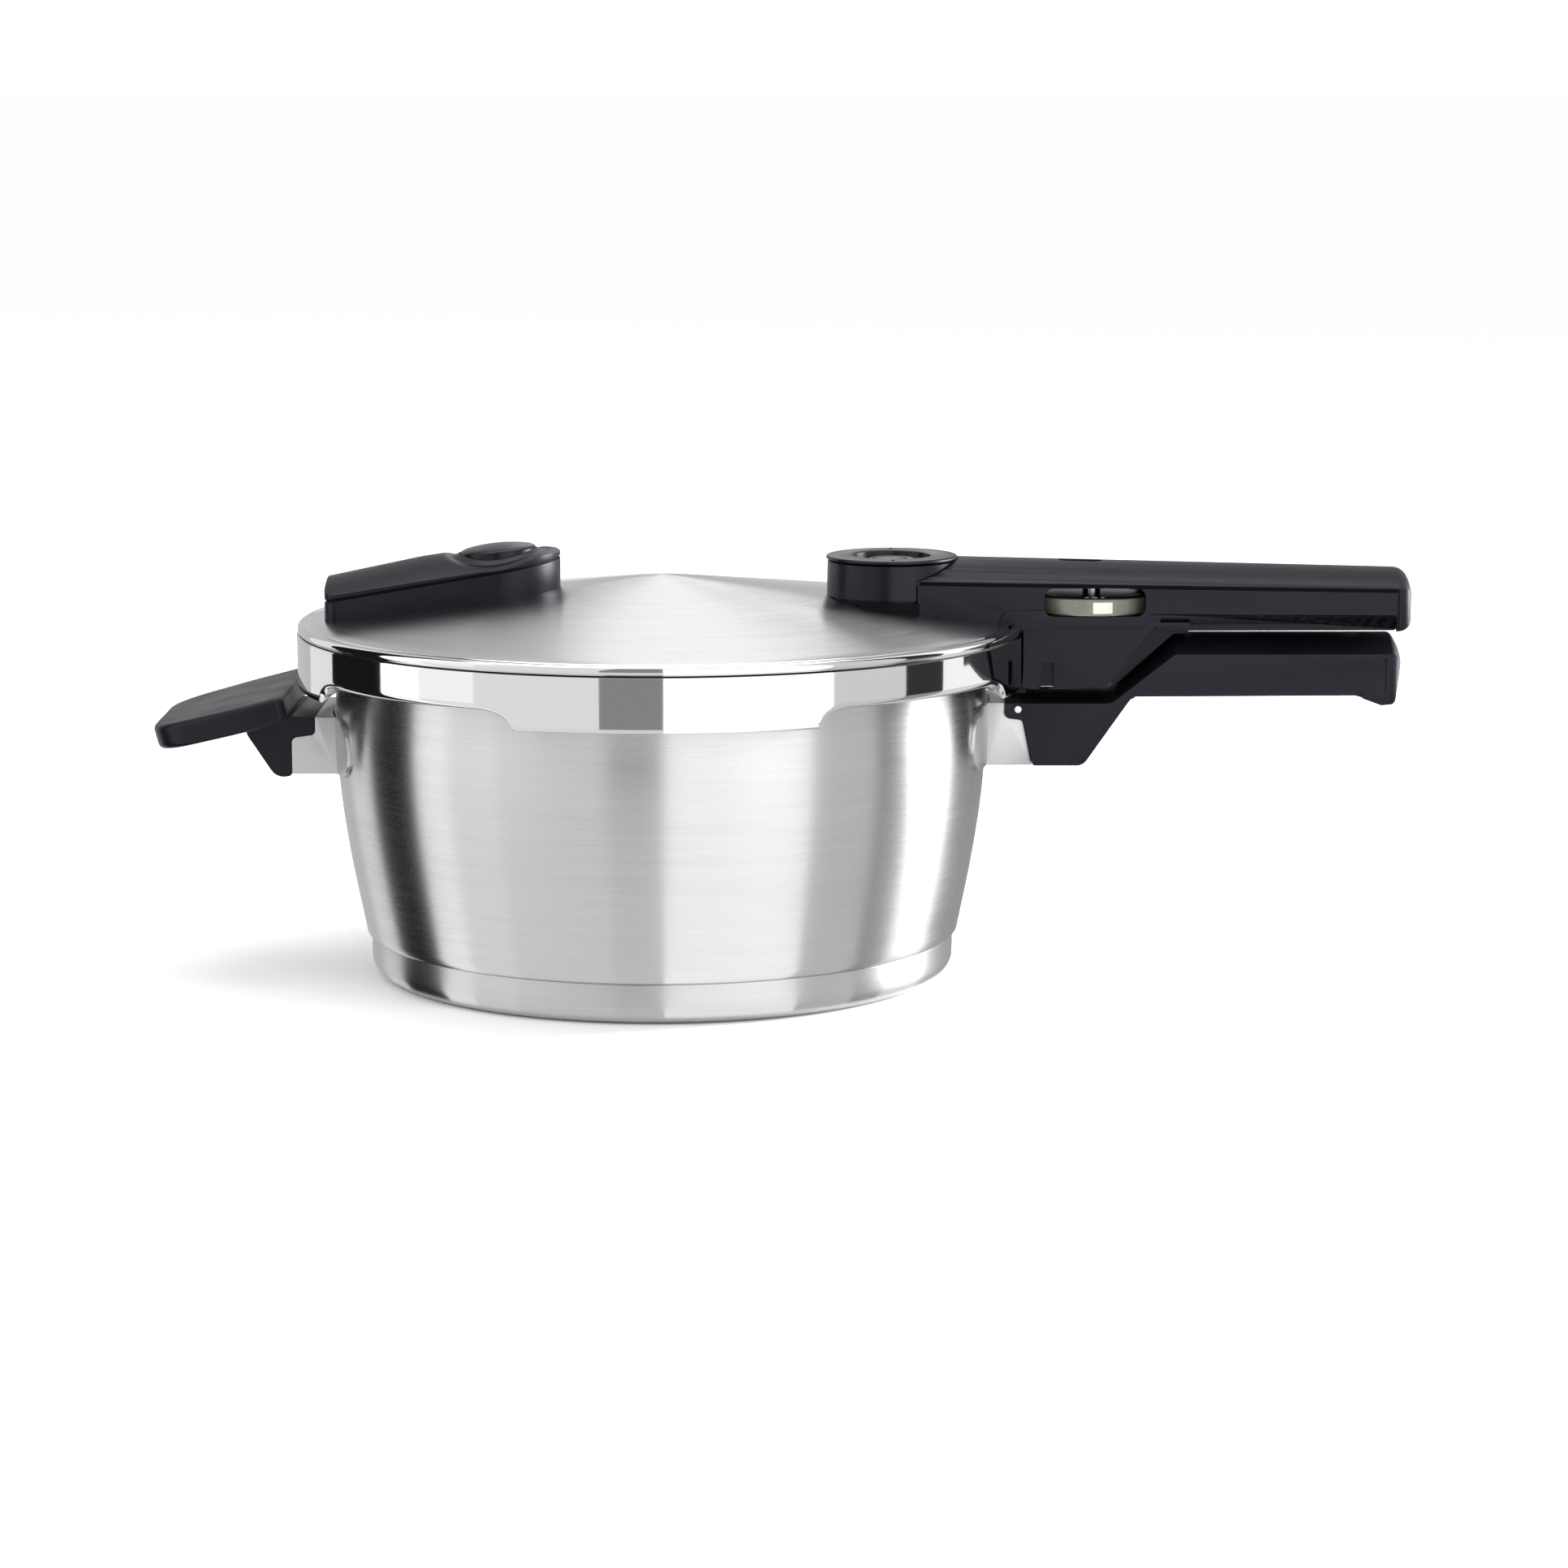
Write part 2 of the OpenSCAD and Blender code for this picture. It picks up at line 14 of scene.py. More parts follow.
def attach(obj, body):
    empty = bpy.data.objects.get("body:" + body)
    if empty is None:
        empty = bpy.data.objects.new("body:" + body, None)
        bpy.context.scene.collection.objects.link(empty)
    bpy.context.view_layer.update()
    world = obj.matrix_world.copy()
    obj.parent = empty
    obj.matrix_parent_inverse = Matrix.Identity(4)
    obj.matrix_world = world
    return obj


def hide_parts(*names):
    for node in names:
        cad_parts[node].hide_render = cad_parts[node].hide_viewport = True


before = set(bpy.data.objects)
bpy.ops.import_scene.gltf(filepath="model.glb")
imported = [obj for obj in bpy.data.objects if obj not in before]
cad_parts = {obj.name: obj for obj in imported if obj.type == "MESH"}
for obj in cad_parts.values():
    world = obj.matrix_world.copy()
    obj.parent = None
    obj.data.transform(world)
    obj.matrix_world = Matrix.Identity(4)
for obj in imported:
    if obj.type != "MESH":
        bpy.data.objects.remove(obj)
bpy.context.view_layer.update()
LOG = logging.getLogger("pressure_cooker")
MM = 0.001
EYE = (0.0412, -1.5, 0.3072)
SLEEVE_WALL = 1.8
Span = tuple[float, float]

Outline = list[tuple[float, float]]


# ---------------------------------------------------------------- materials


def linear(code: str) -> tuple[float, float, float, float]:
    """Turns an sRGB hex colour into linear RGBA.

    Args:
        code: the colour as "#rrggbb".

    Returns:
        Red, green, blue and an alpha of 1.
    """
    parts = [int(code[i:i + 2], 16) / 255 for i in (1, 3, 5)]
    red, green, blue = (p / 12.92 if p <= 0.04045 else ((p + 0.055) / 1.055) ** 2.4 for p in parts)
    return red, green, blue, 1.0


def add(tree: bpy.types.NodeTree, kind: str, settings: dict | None = None,
        links: dict | None = None) -> bpy.types.Node:
    """Adds one node with its settings and its incoming links.

    Args:
        tree: the node tree that gets the node.
        kind: the node's type name.
        settings: attribute names, or input names or numbers, and their values.
        links: input names or numbers, and the sockets that feed them.

    Returns:
        The new node.
    """
    node = tree.nodes.new(kind)
    for key, value in (settings or {}).items():
        if isinstance(key, str) and hasattr(node, key):
            setattr(node, key, value)
        else:
            node.inputs[key].default_value = value
    for key, source in (links or {}).items():
        tree.links.new(source, node.inputs[key])
    return node


class Lay(Enum):
    """Which way the brush lines of a turned surface are spaced."""

    BY_HEIGHT = "Z"
    BY_RADIUS = "R"


@dataclass(frozen=True)
class Finish:
    """A named surface finish; each kind fills in its own shader."""

    name: str
    colour: str

    def material(self) -> bpy.types.Material:
        """Returns the finish's material, made once.

        Returns:
            The material, the same one at every call.
        """
        found = bpy.data.materials.get(self.name)
        if found:
            return found
        made = bpy.data.materials.new(self.name)
        made.use_nodes = True
        tree = made.node_tree
        tree.nodes.clear()
        shader = add(tree, "ShaderNodeBsdfPrincipled", {"Base Color": linear(self.colour)})
        add(tree, "ShaderNodeOutputMaterial", links={"Surface": shader.outputs[0]})
        self.fill(tree, shader)
        return made

    def fill(self, tree: bpy.types.NodeTree, shader: bpy.types.Node) -> None:
        """Sets the shader up; the plain finish leaves it as it is."""


@dataclass(frozen=True)
class BrushedSteel(Finish):
    """Stainless steel brushed round the pot's axis, so lights smear across the lines."""

    lay: Lay
    roughness: float = 0.3
    anisotropy: float = 0.8
    line_mm: float = 0.45
    relief_mm: float = 0.008

    def fill(self, tree: bpy.types.NodeTree, shader: bpy.types.Node) -> None:
        """Draws fine lines round the axis in colour, roughness and relief.

        Args:
            tree: the material's node tree.
            shader: its principled shader.
        """
        place = add(tree, "ShaderNodeTexCoord")
        axes = add(tree, "ShaderNodeSeparateXYZ", links={0: place.outputs["Object"]})
        flat = add(tree, "ShaderNodeCombineXYZ",
                   links={"X": axes.outputs["X"], "Y": axes.outputs["Y"]})
        spoke = add(tree, "ShaderNodeVectorMath", {"operation": "NORMALIZE"},
                    {0: flat.outputs[0]})
        if self.lay is Lay.BY_HEIGHT:
            across = axes.outputs["Z"]
        else:
            across = add(tree, "ShaderNodeVectorMath", {"operation": "LENGTH"},
                         {0: flat.outputs[0]}).outputs["Value"]
        noises = []
        for lines_mm, round_turns, detail in ((self.line_mm, 3.0, 4.0), (self.line_mm * 9, 1.2, 2.0)):
            rows = add(tree, "ShaderNodeMath", {"operation": "MULTIPLY", 1: 1 / (lines_mm * MM)},
                       {0: across})
            lift = add(tree, "ShaderNodeCombineXYZ", links={"Z": rows.outputs[0]})
            streak = add(tree, "ShaderNodeVectorMath",
                         {"operation": "MULTIPLY_ADD", 1: (round_turns,) * 3},
                         {0: spoke.outputs[0], 2: lift.outputs[0]})
            noises.append(add(tree, "ShaderNodeTexNoise", {"Scale": 1.0, "Detail": detail},
                              {"Vector": streak.outputs[0]}))
        both = add(tree, "ShaderNodeMath", {"operation": "MULTIPLY_ADD", 1: 0.6},
                   {0: noises[0].outputs[0],
                    2: add(tree, "ShaderNodeMath", {"operation": "MULTIPLY", 1: 0.4},
                           {0: noises[1].outputs[0]}).outputs[0]})
        red, green, blue, _ = linear(self.colour)
        tone = add(tree, "ShaderNodeValToRGB", links={0: both.outputs[0]})
        tone.color_ramp.elements[0].position = 0.3
        tone.color_ramp.elements[0].color = (red * 0.9, green * 0.9, blue * 0.91, 1)
        tone.color_ramp.elements[1].position = 0.7
        tone.color_ramp.elements[1].color = (red, green, blue, 1)
        rough = add(tree, "ShaderNodeMapRange",
                    {"From Min": 0.3, "From Max": 0.7, "To Min": self.roughness + 0.03,
                     "To Max": self.roughness - 0.02}, {"Value": both.outputs[0]})
        bump = add(tree, "ShaderNodeBump", {"Strength": 0.1, "Distance": self.relief_mm * MM},
                   {"Height": noises[0].outputs[0]})
        # Scratches run round the axis, so the blur follows the slope of the surface
        up = add(tree, "ShaderNodeCombineXYZ", {"Z": 1.0})
        shader.inputs["Metallic"].default_value = 1.0
        shader.inputs["Anisotropic"].default_value = self.anisotropy
        tree.links.new(tone.outputs[0], shader.inputs["Base Color"])
        tree.links.new(rough.outputs[0], shader.inputs["Roughness"])
        tree.links.new(bump.outputs[0], shader.inputs["Normal"])
        tree.links.new(up.outputs[0], shader.inputs["Tangent"])


@dataclass(frozen=True)
class GrainedMetal(Finish):
    """Polished, blasted or turned metal: an even gloss with a fine grain or ripple."""

    roughness: float
    grain_mm: float
    relief_mm: float

    def fill(self, tree: bpy.types.NodeTree, shader: bpy.types.Node) -> None:
        """Varies the gloss and the surface with one fine noise.

        Args:
            tree: the material's node tree.
            shader: its principled shader.
        """
        place = add(tree, "ShaderNodeTexCoord")
        grain = add(tree, "ShaderNodeTexNoise",
                    {"Scale": 1 / (self.grain_mm * MM), "Detail": 3.0, "Roughness": 0.6},
                    {"Vector": place.outputs["Object"]})
        rough = add(tree, "ShaderNodeMapRange",
                    {"To Min": self.roughness * 0.8, "To Max": self.roughness * 1.25},
                    {"Value": grain.outputs[0]})
        bump = add(tree, "ShaderNodeBump", {"Strength": 0.3, "Distance": self.relief_mm * MM},
                   {"Height": grain.outputs[0]})
        shader.inputs["Metallic"].default_value = 1.0
        tree.links.new(rough.outputs[0], shader.inputs["Roughness"])
        tree.links.new(bump.outputs[0], shader.inputs["Normal"])


@dataclass(frozen=True)
class MouldedPlastic(Finish):
    """Injection or compression moulded plastic with a fine spark-eroded texture."""

    roughness: float = 0.4
    grain_mm: float = 0.35
    relief_mm: float = 0.012
    gloss: float = 0.5

    def fill(self, tree: bpy.types.NodeTree, shader: bpy.types.Node) -> None:
        """Adds the mould's grain and slow changes of gloss and tone.

        Args:
            tree: the material's node tree.
            shader: its principled shader.
        """
        place = add(tree, "ShaderNodeTexCoord")
        grain = add(tree, "ShaderNodeTexNoise",
                    {"Scale": 1 / (self.grain_mm * MM), "Detail": 2.0},
                    {"Vector": place.outputs["Object"]})
        cloud = add(tree, "ShaderNodeTexNoise", {"Scale": 1 / (18 * MM), "Detail": 3.0},
                    {"Vector": place.outputs["Object"]})
        red, green, blue, _ = linear(self.colour)
        tone = add(tree, "ShaderNodeValToRGB", links={0: cloud.outputs[0]})
        tone.color_ramp.elements[0].position = 0.35
        tone.color_ramp.elements[0].color = (red * 0.85, green * 0.85, blue * 0.85, 1)
        tone.color_ramp.elements[1].position = 0.65
        tone.color_ramp.elements[1].color = (red * 1.1, green * 1.1, blue * 1.1, 1)
        rough = add(tree, "ShaderNodeMapRange",
                    {"From Min": 0.3, "From Max": 0.7, "To Min": self.roughness - 0.05,
                     "To Max": self.roughness + 0.06}, {"Value": cloud.outputs[0]})
        bump = add(tree, "ShaderNodeBump", {"Strength": 0.5, "Distance": self.relief_mm * MM},
                   {"Height": grain.outputs[0]})
        shader.inputs["Specular IOR Level"].default_value = self.gloss
        shader.inputs["Specular Tint"].default_value = linear("#e8edff")
        tree.links.new(tone.outputs[0], shader.inputs["Base Color"])
        tree.links.new(rough.outputs[0], shader.inputs["Roughness"])
        tree.links.new(bump.outputs[0], shader.inputs["Normal"])


@dataclass(frozen=True)
class ClearPlastic(Finish):
    """Smoked clear plastic, such as a small window."""

    def fill(self, tree: bpy.types.NodeTree, shader: bpy.types.Node) -> None:
        """Lets some light through and keeps a sharp gloss.

        Args:
            tree: the material's node tree.
            shader: its principled shader.
        """
        shader.inputs["Roughness"].default_value = 0.06
        shader.inputs["Transmission Weight"].default_value = 0.7
        shader.inputs["IOR"].default_value = 1.49


# Stainless steel, belt-brushed round the wall: soft vertical bands with faint level lines
WALL_STEEL = BrushedSteel("brushed_stainless_wall", "#cfcfce", Lay.BY_HEIGHT, 0.27, 0.85)
# The same steel on the base band, brushed finer
BASE_STEEL = BrushedSteel("brushed_stainless_base", "#c6c6c5", Lay.BY_HEIGHT, 0.32, 0.7, 0.3)
# Stainless steel turned against a pad on the lid: circles, and a bright fan of light
CONE_STEEL = BrushedSteel("spun_brushed_stainless_lid", "#d6d6d5", Lay.BY_RADIUS, 0.24, 0.85, 0.4, 0.0012)
# Stainless steel buffed to a mirror on the lid's skirt
MIRROR_STEEL = GrainedMetal("mirror_polished_stainless", "#dedede", 0.045, 9.0, 0.006)
# Painted shade: near-black steel for a ring that paints the dark line in the groove under the bead
PAINTED_GROOVE_SHADE = GrainedMetal("painted_groove_shade_steel", "#131314", 0.5, 0.4, 0.01)
# Stainless steel blasted with fine beads on the handle sleeves
BLASTED_STEEL = GrainedMetal("bead_blasted_stainless", "#c2c2c3", 0.33, 0.3, 0.012)
# Bright turned steel of screws, springs and pins
TURNED_STEEL = GrainedMetal("bright_turned_steel", "#d2d2d2", 0.16, 0.6, 0.01)
# Cast aluminium of the heat-spreading core
CORE_ALUMINIUM = GrainedMetal("core_aluminium", "#c9cacc", 0.45, 0.8, 0.03)
# Heat-resistant phenolic plastic, satin black with a cool sheen
PHENOLIC = MouldedPlastic("black_phenolic", "#0e0f13", 0.36, 0.35, 0.006, 0.26)
# The same plastic polished smoother on the valve head
SMOOTH_PHENOLIC = MouldedPlastic("smooth_black_phenolic", "#0a0b0e", 0.27, 0.5, 0.003, 0.32)
# Dull black inner plastic that shows only in gaps; strips of it laid deep in the handles' grooves are
# painted shade
DULL_PLASTIC_AND_SEAM_SHADE = MouldedPlastic("inner_black_plastic_and_seam_shade", "#050506", 0.6, 0.35, 0.008, 0.1)
# Metallised grey band of the selector
BAND_GREY = MouldedPlastic("metallised_grey_band", "#6a6a5e", 0.24, 0.9, 0.006, 0.8)
# Light inlay on the band: its colour paints the band's bright highlight
BAND_HIGHLIGHT_INLAY = MouldedPlastic("painted_highlight_inlay", "#cfcfbf", 0.3, 0.9, 0.004, 0.7)
# White silicone of the gasket and seals
SILICONE = MouldedPlastic("white_silicone", "#d8dad8", 0.5, 1.2, 0.02)
# White pad-printed marks
WHITE_INK = MouldedPlastic("white_print", "#e8e8e6", 0.5, 0.3, 0.003)
# Green and orange coloured parts of the indicators
FLAG_GREEN = MouldedPlastic("green_flag", "#1f8a3c", 0.4, 0.5, 0.005)
RING_ORANGE = MouldedPlastic("orange_ring", "#e07a1c", 0.35, 0.5, 0.005)
# Smoked clear polycarbonate of the window
WINDOW = ClearPlastic("smoked_window", "#20242a")


# ---------------------------------------------------------------- modelling


def fillet(corners: list[tuple[float, float, float]], steps: int = 6) -> Outline:
    """Rounds the corners of a closed outline.

    Args:
        corners: each corner's two coordinates and its radius, 0 for a sharp one.
        steps: straight pieces in each rounded corner.

    Returns:
        The outline's points, in the same order.
    """
    points: Outline = []
    for i, (u, v, radius) in enumerate(corners):
        here = Vector((u, v))
        if radius <= 0:
            points.append((u, v))
            continue
        before = (Vector(corners[i - 1][:2]) - here).normalized()
        after = (Vector(corners[(i + 1) % len(corners)][:2]) - here).normalized()
        half = before.angle(after) / 2
        centre = here + (before + after).normalized() * radius / sin(half)
        start = here + before * radius / tan(half) - centre
        end = here + after * radius / tan(half) - centre
        turn = start.angle_signed(end)
        for k in range(steps + 1):
            spot = start.copy()
            spot.rotate(Matrix.Rotation(-turn * k / steps, 2))
            points.append((centre.x + spot.x, centre.y + spot.y))
    return points


def arc(cu: float, cv: float, radius: float, a0: float, a1: float, steps: int) -> Outline:
    """Points on an arc about (cu, cv), from angle a0 to a1 in degrees."""
    angles = [radians(a0 + (a1 - a0) * k / steps) for k in range(steps + 1)]
    return [(cu + radius * cos(a), cv + radius * sin(a)) for a in angles]


def rod(length_from: float, length_to: float, radius: float, sides: int = 48) -> bmesh.types.BMesh:
    """A plain cylinder on Z, from one height to another.

    Args:
        length_from: height of its lower end.
        length_to: height of its upper end.
        radius: its radius.
        sides: number of flat sides round it.

    Returns:
        The closed shape.
    """
    bm = bmesh.new()
    bmesh.ops.create_cone(bm, cap_ends=True, segments=sides, radius1=radius, radius2=radius,
                          depth=length_to - length_from)
    bmesh.ops.translate(bm, verts=bm.verts, vec=(0, 0, (length_from + length_to) / 2))
    return bm


def spun(outline: Outline, steps: int = 192, start: float = 0.0, sweep: float = 360.0,
         at: tuple[float, float] = (0.0, 0.0)) -> bmesh.types.BMesh:
    """Spins a closed outline of radius and height about a vertical axis.

    Args:
        outline: radius and height of each point, in millimetres.
        steps: pieces in the whole sweep.
        start: where the sweep starts, in degrees from +X.
        sweep: how far it goes, in degrees.
        at: where the axis stands.

    Returns:
        The closed shape.
    """
    bm = bmesh.new()
    verts = [bm.verts.new((r, 0, z)) for r, z in outline]
    edges = [bm.edges.new((a, b)) for a, b in zip(verts, verts[1:] + verts[:1])]
    whole = sweep >= 360
    faces = []
    if not whole:
        faces = [bm.faces.new(verts)]
    bmesh.ops.rotate(bm, verts=bm.verts, cent=(0, 0, 0), matrix=Matrix.Rotation(radians(start), 3, "Z"))
    bmesh.ops.spin(bm, geom=faces or verts + edges, cent=(0, 0, 0), axis=(0, 0, 1),
                   angle=radians(sweep), steps=steps, use_merge=whole, use_duplicate=False)
    bmesh.ops.remove_doubles(bm, verts=bm.verts, dist=1e-4)
    bmesh.ops.dissolve_degenerate(bm, dist=1e-5, edges=bm.edges)
    bmesh.ops.recalc_face_normals(bm, faces=bm.faces)
    bmesh.ops.translate(bm, verts=bm.verts, vec=(at[0], at[1], 0))
    return bm


class Plane(Enum):
    """Which plane an outline is drawn in before it is extruded."""

    SIDE = "XZ"
    PLAN = "XY"
    END = "YZ"


def extruded(outline: Outline, low: float, high: float, plane: Plane) -> bmesh.types.BMesh:
    """Extrudes a closed outline along the axis that its plane leaves out.

    Args:
        outline: the outline's points, in millimetres.
        low: where the extrusion starts.
        high: where it ends.
        plane: the plane of the outline.

    Returns:
        The closed shape.
    """
    seat = {
        Plane.SIDE: lambda u, v: (u, low, v),
        Plane.PLAN: lambda u, v: (u, v, low),
        Plane.END: lambda u, v: (low, u, v),
    }[plane]
    move = {
        Plane.SIDE: (0, high - low, 0),
        Plane.PLAN: (0, 0, high - low),
        Plane.END: (high - low, 0, 0),
    }[plane]
    bm = bmesh.new()
    face = bm.faces.new([bm.verts.new(seat(u, v)) for u, v in outline])
    grown = bmesh.ops.extrude_face_region(bm, geom=[face], use_keep_orig=True)
    moved = [g for g in grown["geom"] if isinstance(g, bmesh.types.BMVert)]
    bmesh.ops.translate(bm, verts=moved, vec=move)
    bmesh.ops.remove_doubles(bm, verts=bm.verts, dist=1e-4)
    bmesh.ops.recalc_face_normals(bm, faces=bm.faces)
    return bm


@dataclass(frozen=True)
class CrownedBar:
    """A bar along X with flat sides and a crowned top that can fall and narrow."""

    x0: float
    x1: float
    width0: float
    width1: float
    bottom: float
    edge0: float
    edge1: float
    crown: float
    end_round: float = 3.0

    def section(self) -> Outline:
        """Half-rounded corners below, an arc above; drawn for the near end.

        Returns:
            The outline, with Y across and Z up.
        """
        hw = self.width0
        radius = (hw * hw + self.crown * self.crown) / (2 * self.crown)
        centre = self.edge0 + self.crown - radius
        reach = degrees(atan2(self.edge0 - centre, hw))
        top = arc(0, centre, radius, reach, 180 - reach, 18)
        low = fillet([(-hw, self.edge0, 0), (-hw, self.bottom, 1.2), (hw, self.bottom, 1.2),
                      (hw, self.edge0, 0)])[1:-1]
        return top + low

    def build(self) -> bmesh.types.BMesh:
        """Makes the closed bar with its far end rounded.

        Returns:
            The closed shape.
        """
        middle = (self.bottom + self.edge0 + self.crown) / 2
        tall = self.edge0 + self.crown - middle
        bm = extruded(self.section(), self.x0, self.x1 - self.end_round, Plane.END)
        cap = max(bm.faces, key=lambda f: f.calc_center_median().x)
        for k in range(1, 7):
            angle = pi / 2 * k / 6
            before = pi / 2 * (k - 1) / 6
            out = bmesh.ops.extrude_discrete_faces(bm, faces=[cap])["faces"]
            cap = out[0]
            step = self.end_round * (sin(angle) - sin(before))
            shrink = self.end_round * (cos(before) - cos(angle))
            was_y = self.width0 - self.end_round * (1 - cos(before))
            was_z = tall - self.end_round * (1 - cos(before))
            bmesh.ops.translate(bm, verts=cap.verts, vec=(step, 0, 0))
            bmesh.ops.scale(bm, verts=cap.verts, vec=(1, 1 - shrink / was_y, 1 - shrink / was_z),
                            space=Matrix.Translation((0, 0, -middle)))
        for vert in bm.verts:
            along = (vert.co.x - self.x0) / (self.x1 - self.x0)
            height = (vert.co.z - self.bottom) / (self.edge0 - self.bottom)
            vert.co.z -= (self.edge0 - self.edge1) * along * height
            vert.co.y *= 1 + (self.width1 / self.width0 - 1) * along
        bmesh.ops.remove_doubles(bm, verts=bm.verts, dist=1e-4)
        bmesh.ops.recalc_face_normals(bm, faces=bm.faces)
        return bm


def relief_block(spans: tuple[float, float, float, float], cells: tuple[int, int], height: Callable,
                 bottom: float) -> bmesh.types.BMesh:
    """A block whose top follows a height rule.

    Args:
        spans: the block's ends in X, then in Y.
        cells: grid cells along X and along Y.
        height: gives the top's height at x and y.
        bottom: height of the flat underside.

    Returns:
        The closed shape.
    """
    x0, x1, y0, y1 = spans
    bm = bmesh.new()
    bmesh.ops.create_grid(bm, x_segments=cells[0], y_segments=cells[1], size=0.5)
    bmesh.ops.scale(bm, verts=bm.verts, vec=(x1 - x0, y1 - y0, 1))
    bmesh.ops.translate(bm, verts=bm.verts, vec=((x0 + x1) / 2, (y0 + y1) / 2, 0))
    for vert in bm.verts:
        vert.co.z = height(vert.co.x, vert.co.y)
    grown = bmesh.ops.extrude_face_region(bm, geom=bm.faces[:], use_keep_orig=True)["geom"]
    for vert in (g for g in grown if isinstance(g, bmesh.types.BMVert)):
        vert.co.z = bottom
    bmesh.ops.recalc_face_normals(bm, faces=bm.faces)
    return bm


def turned(bm: bmesh.types.BMesh, angle: float, axis: str,
           about: tuple[float, float, float]) -> bmesh.types.BMesh:
    """Turns a shape by an angle in degrees about an axis through a point."""
    bmesh.ops.rotate(bm, verts=bm.verts, cent=about, matrix=Matrix.Rotation(radians(angle), 3, axis))
    return bm


def moved(bm: bmesh.types.BMesh, x: float = 0, y: float = 0, z: float = 0) -> bmesh.types.BMesh:
    """Moves a shape."""
    bmesh.ops.translate(bm, verts=bm.verts, vec=(x, y, z))
    return bm


def block(low: tuple[float, float, float], high: tuple[float, float, float]) -> bmesh.types.BMesh:
    """A box between two corners, used as a cutter or a core.

    Args:
        low: the corner with the smallest X, Y and Z.
        high: the opposite corner.

    Returns:
        The closed shape.
    """
    bm = bmesh.new()
    bmesh.ops.create_cube(bm, size=1.0)
    size = [b - a for a, b in zip(low, high)]
    bmesh.ops.scale(bm, verts=bm.verts, vec=size)
    bmesh.ops.translate(bm, verts=bm.verts, vec=[(a + b) / 2 for a, b in zip(low, high)])
    return bm


def as_shape(piece: bpy.types.Object) -> bmesh.types.BMesh:
    """Turns an object back into a shape in millimetres, and removes the object.

    Args:
        piece: the object, which is gone afterwards.

    Returns:
        The shape.
    """
    bm = bmesh.new()
    bm.from_mesh(piece.data)
    bmesh.ops.scale(bm, verts=bm.verts, vec=(1 / MM, 1 / MM, 1 / MM))
    bpy.data.objects.remove(piece)
    return bm


def as_object(bm: bmesh.types.BMesh, name: str) -> bpy.types.Object:
    """Turns a shape in millimetres into an object in metres, and frees the shape.

    Args:
        bm: the shape, which is used up.
        name: the object's name.

    Returns:
        The object, at the origin.
    """
    bmesh.ops.scale(bm, verts=bm.verts, vec=(MM, MM, MM))
    mesh = bpy.data.meshes.new(name)
    bm.to_mesh(mesh)
    bm.free()
    made = bpy.data.objects.new(name, mesh)
    bpy.context.scene.collection.objects.link(made)
    return made


class Cut(Enum):
    """What a second shape does to the first."""

    OFF = "DIFFERENCE"
    ONTO = "UNION"
    WITHIN = "INTERSECT"


def carve(piece: bpy.types.Object, shape: bmesh.types.BMesh, cut: Cut = Cut.OFF) -> None:
    """Cuts a shape off a piece, joins it on, or keeps only what is within it.

    Args:
        piece: the object that changes.
        shape: the second shape, in millimetres, which is used up.
        cut: what the shape does.
    """
    tool = as_object(shape, "tool")
    change = piece.modifiers.new("cut", "BOOLEAN")
    change.object = tool
    change.operation = cut.value
    change.solver = "EXACT"
    settle(piece)
    bpy.data.objects.remove(tool)


def settle(piece: bpy.types.Object) -> None:
    """Applies the piece's modifiers to its mesh.

    Args:
        piece: the object to finish.
    """
    bpy.context.view_layer.update()
    graph = bpy.context.evaluated_depsgraph_get()
    mesh = bpy.data.meshes.new_from_object(piece.evaluated_get(graph))
    piece.modifiers.clear()
    old = piece.data
    piece.data = mesh
    bpy.data.meshes.remove(old)


def round_edges(piece: bpy.types.Object, width: float, steps: int = 3, angle: float = 32) -> None:
    """Rounds every sharp edge of a piece.

    Args:
        piece: the object.
        width: width of the rounding, in millimetres.
        steps: faces across it.
        angle: edges that turn more than this, in degrees, are rounded.
    """
    bevel = piece.modifiers.new("edge", "BEVEL")
    bevel.width = width * MM
    bevel.segments = steps
    bevel.limit_method = "ANGLE"
    bevel.angle_limit = radians(angle)
    bevel.use_clamp_overlap = True
    bevel.harden_normals = False
    settle(piece)


def dress(piece: bpy.types.Object, finish: Finish, body: str, nodes: tuple[str, ...] = (),
          smooth: float = 35) -> bpy.types.Object:
    """Gives a piece its finish and its body, and hides the design nodes that it stands for.

    Args:
        piece: the object.
        finish: its surface finish.
        body: the body that it rides on.
        nodes: the design nodes that it stands for.
        smooth: faces that meet at less than this, in degrees, are shaded as one.

    Returns:
        The piece.
    """
    mesh = piece.data
    mesh.materials.clear()
    mesh.materials.append(finish.material())
    mesh.shade_smooth()
    mesh.set_sharp_from_angle(angle=radians(smooth))
    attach(piece, body)
    if nodes:
        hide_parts(*nodes)
    LOG.info("%s: %d faces on %s", piece.name, len(mesh.polygons), body)
    return piece


# ---------------------------------------------------------------- the pot


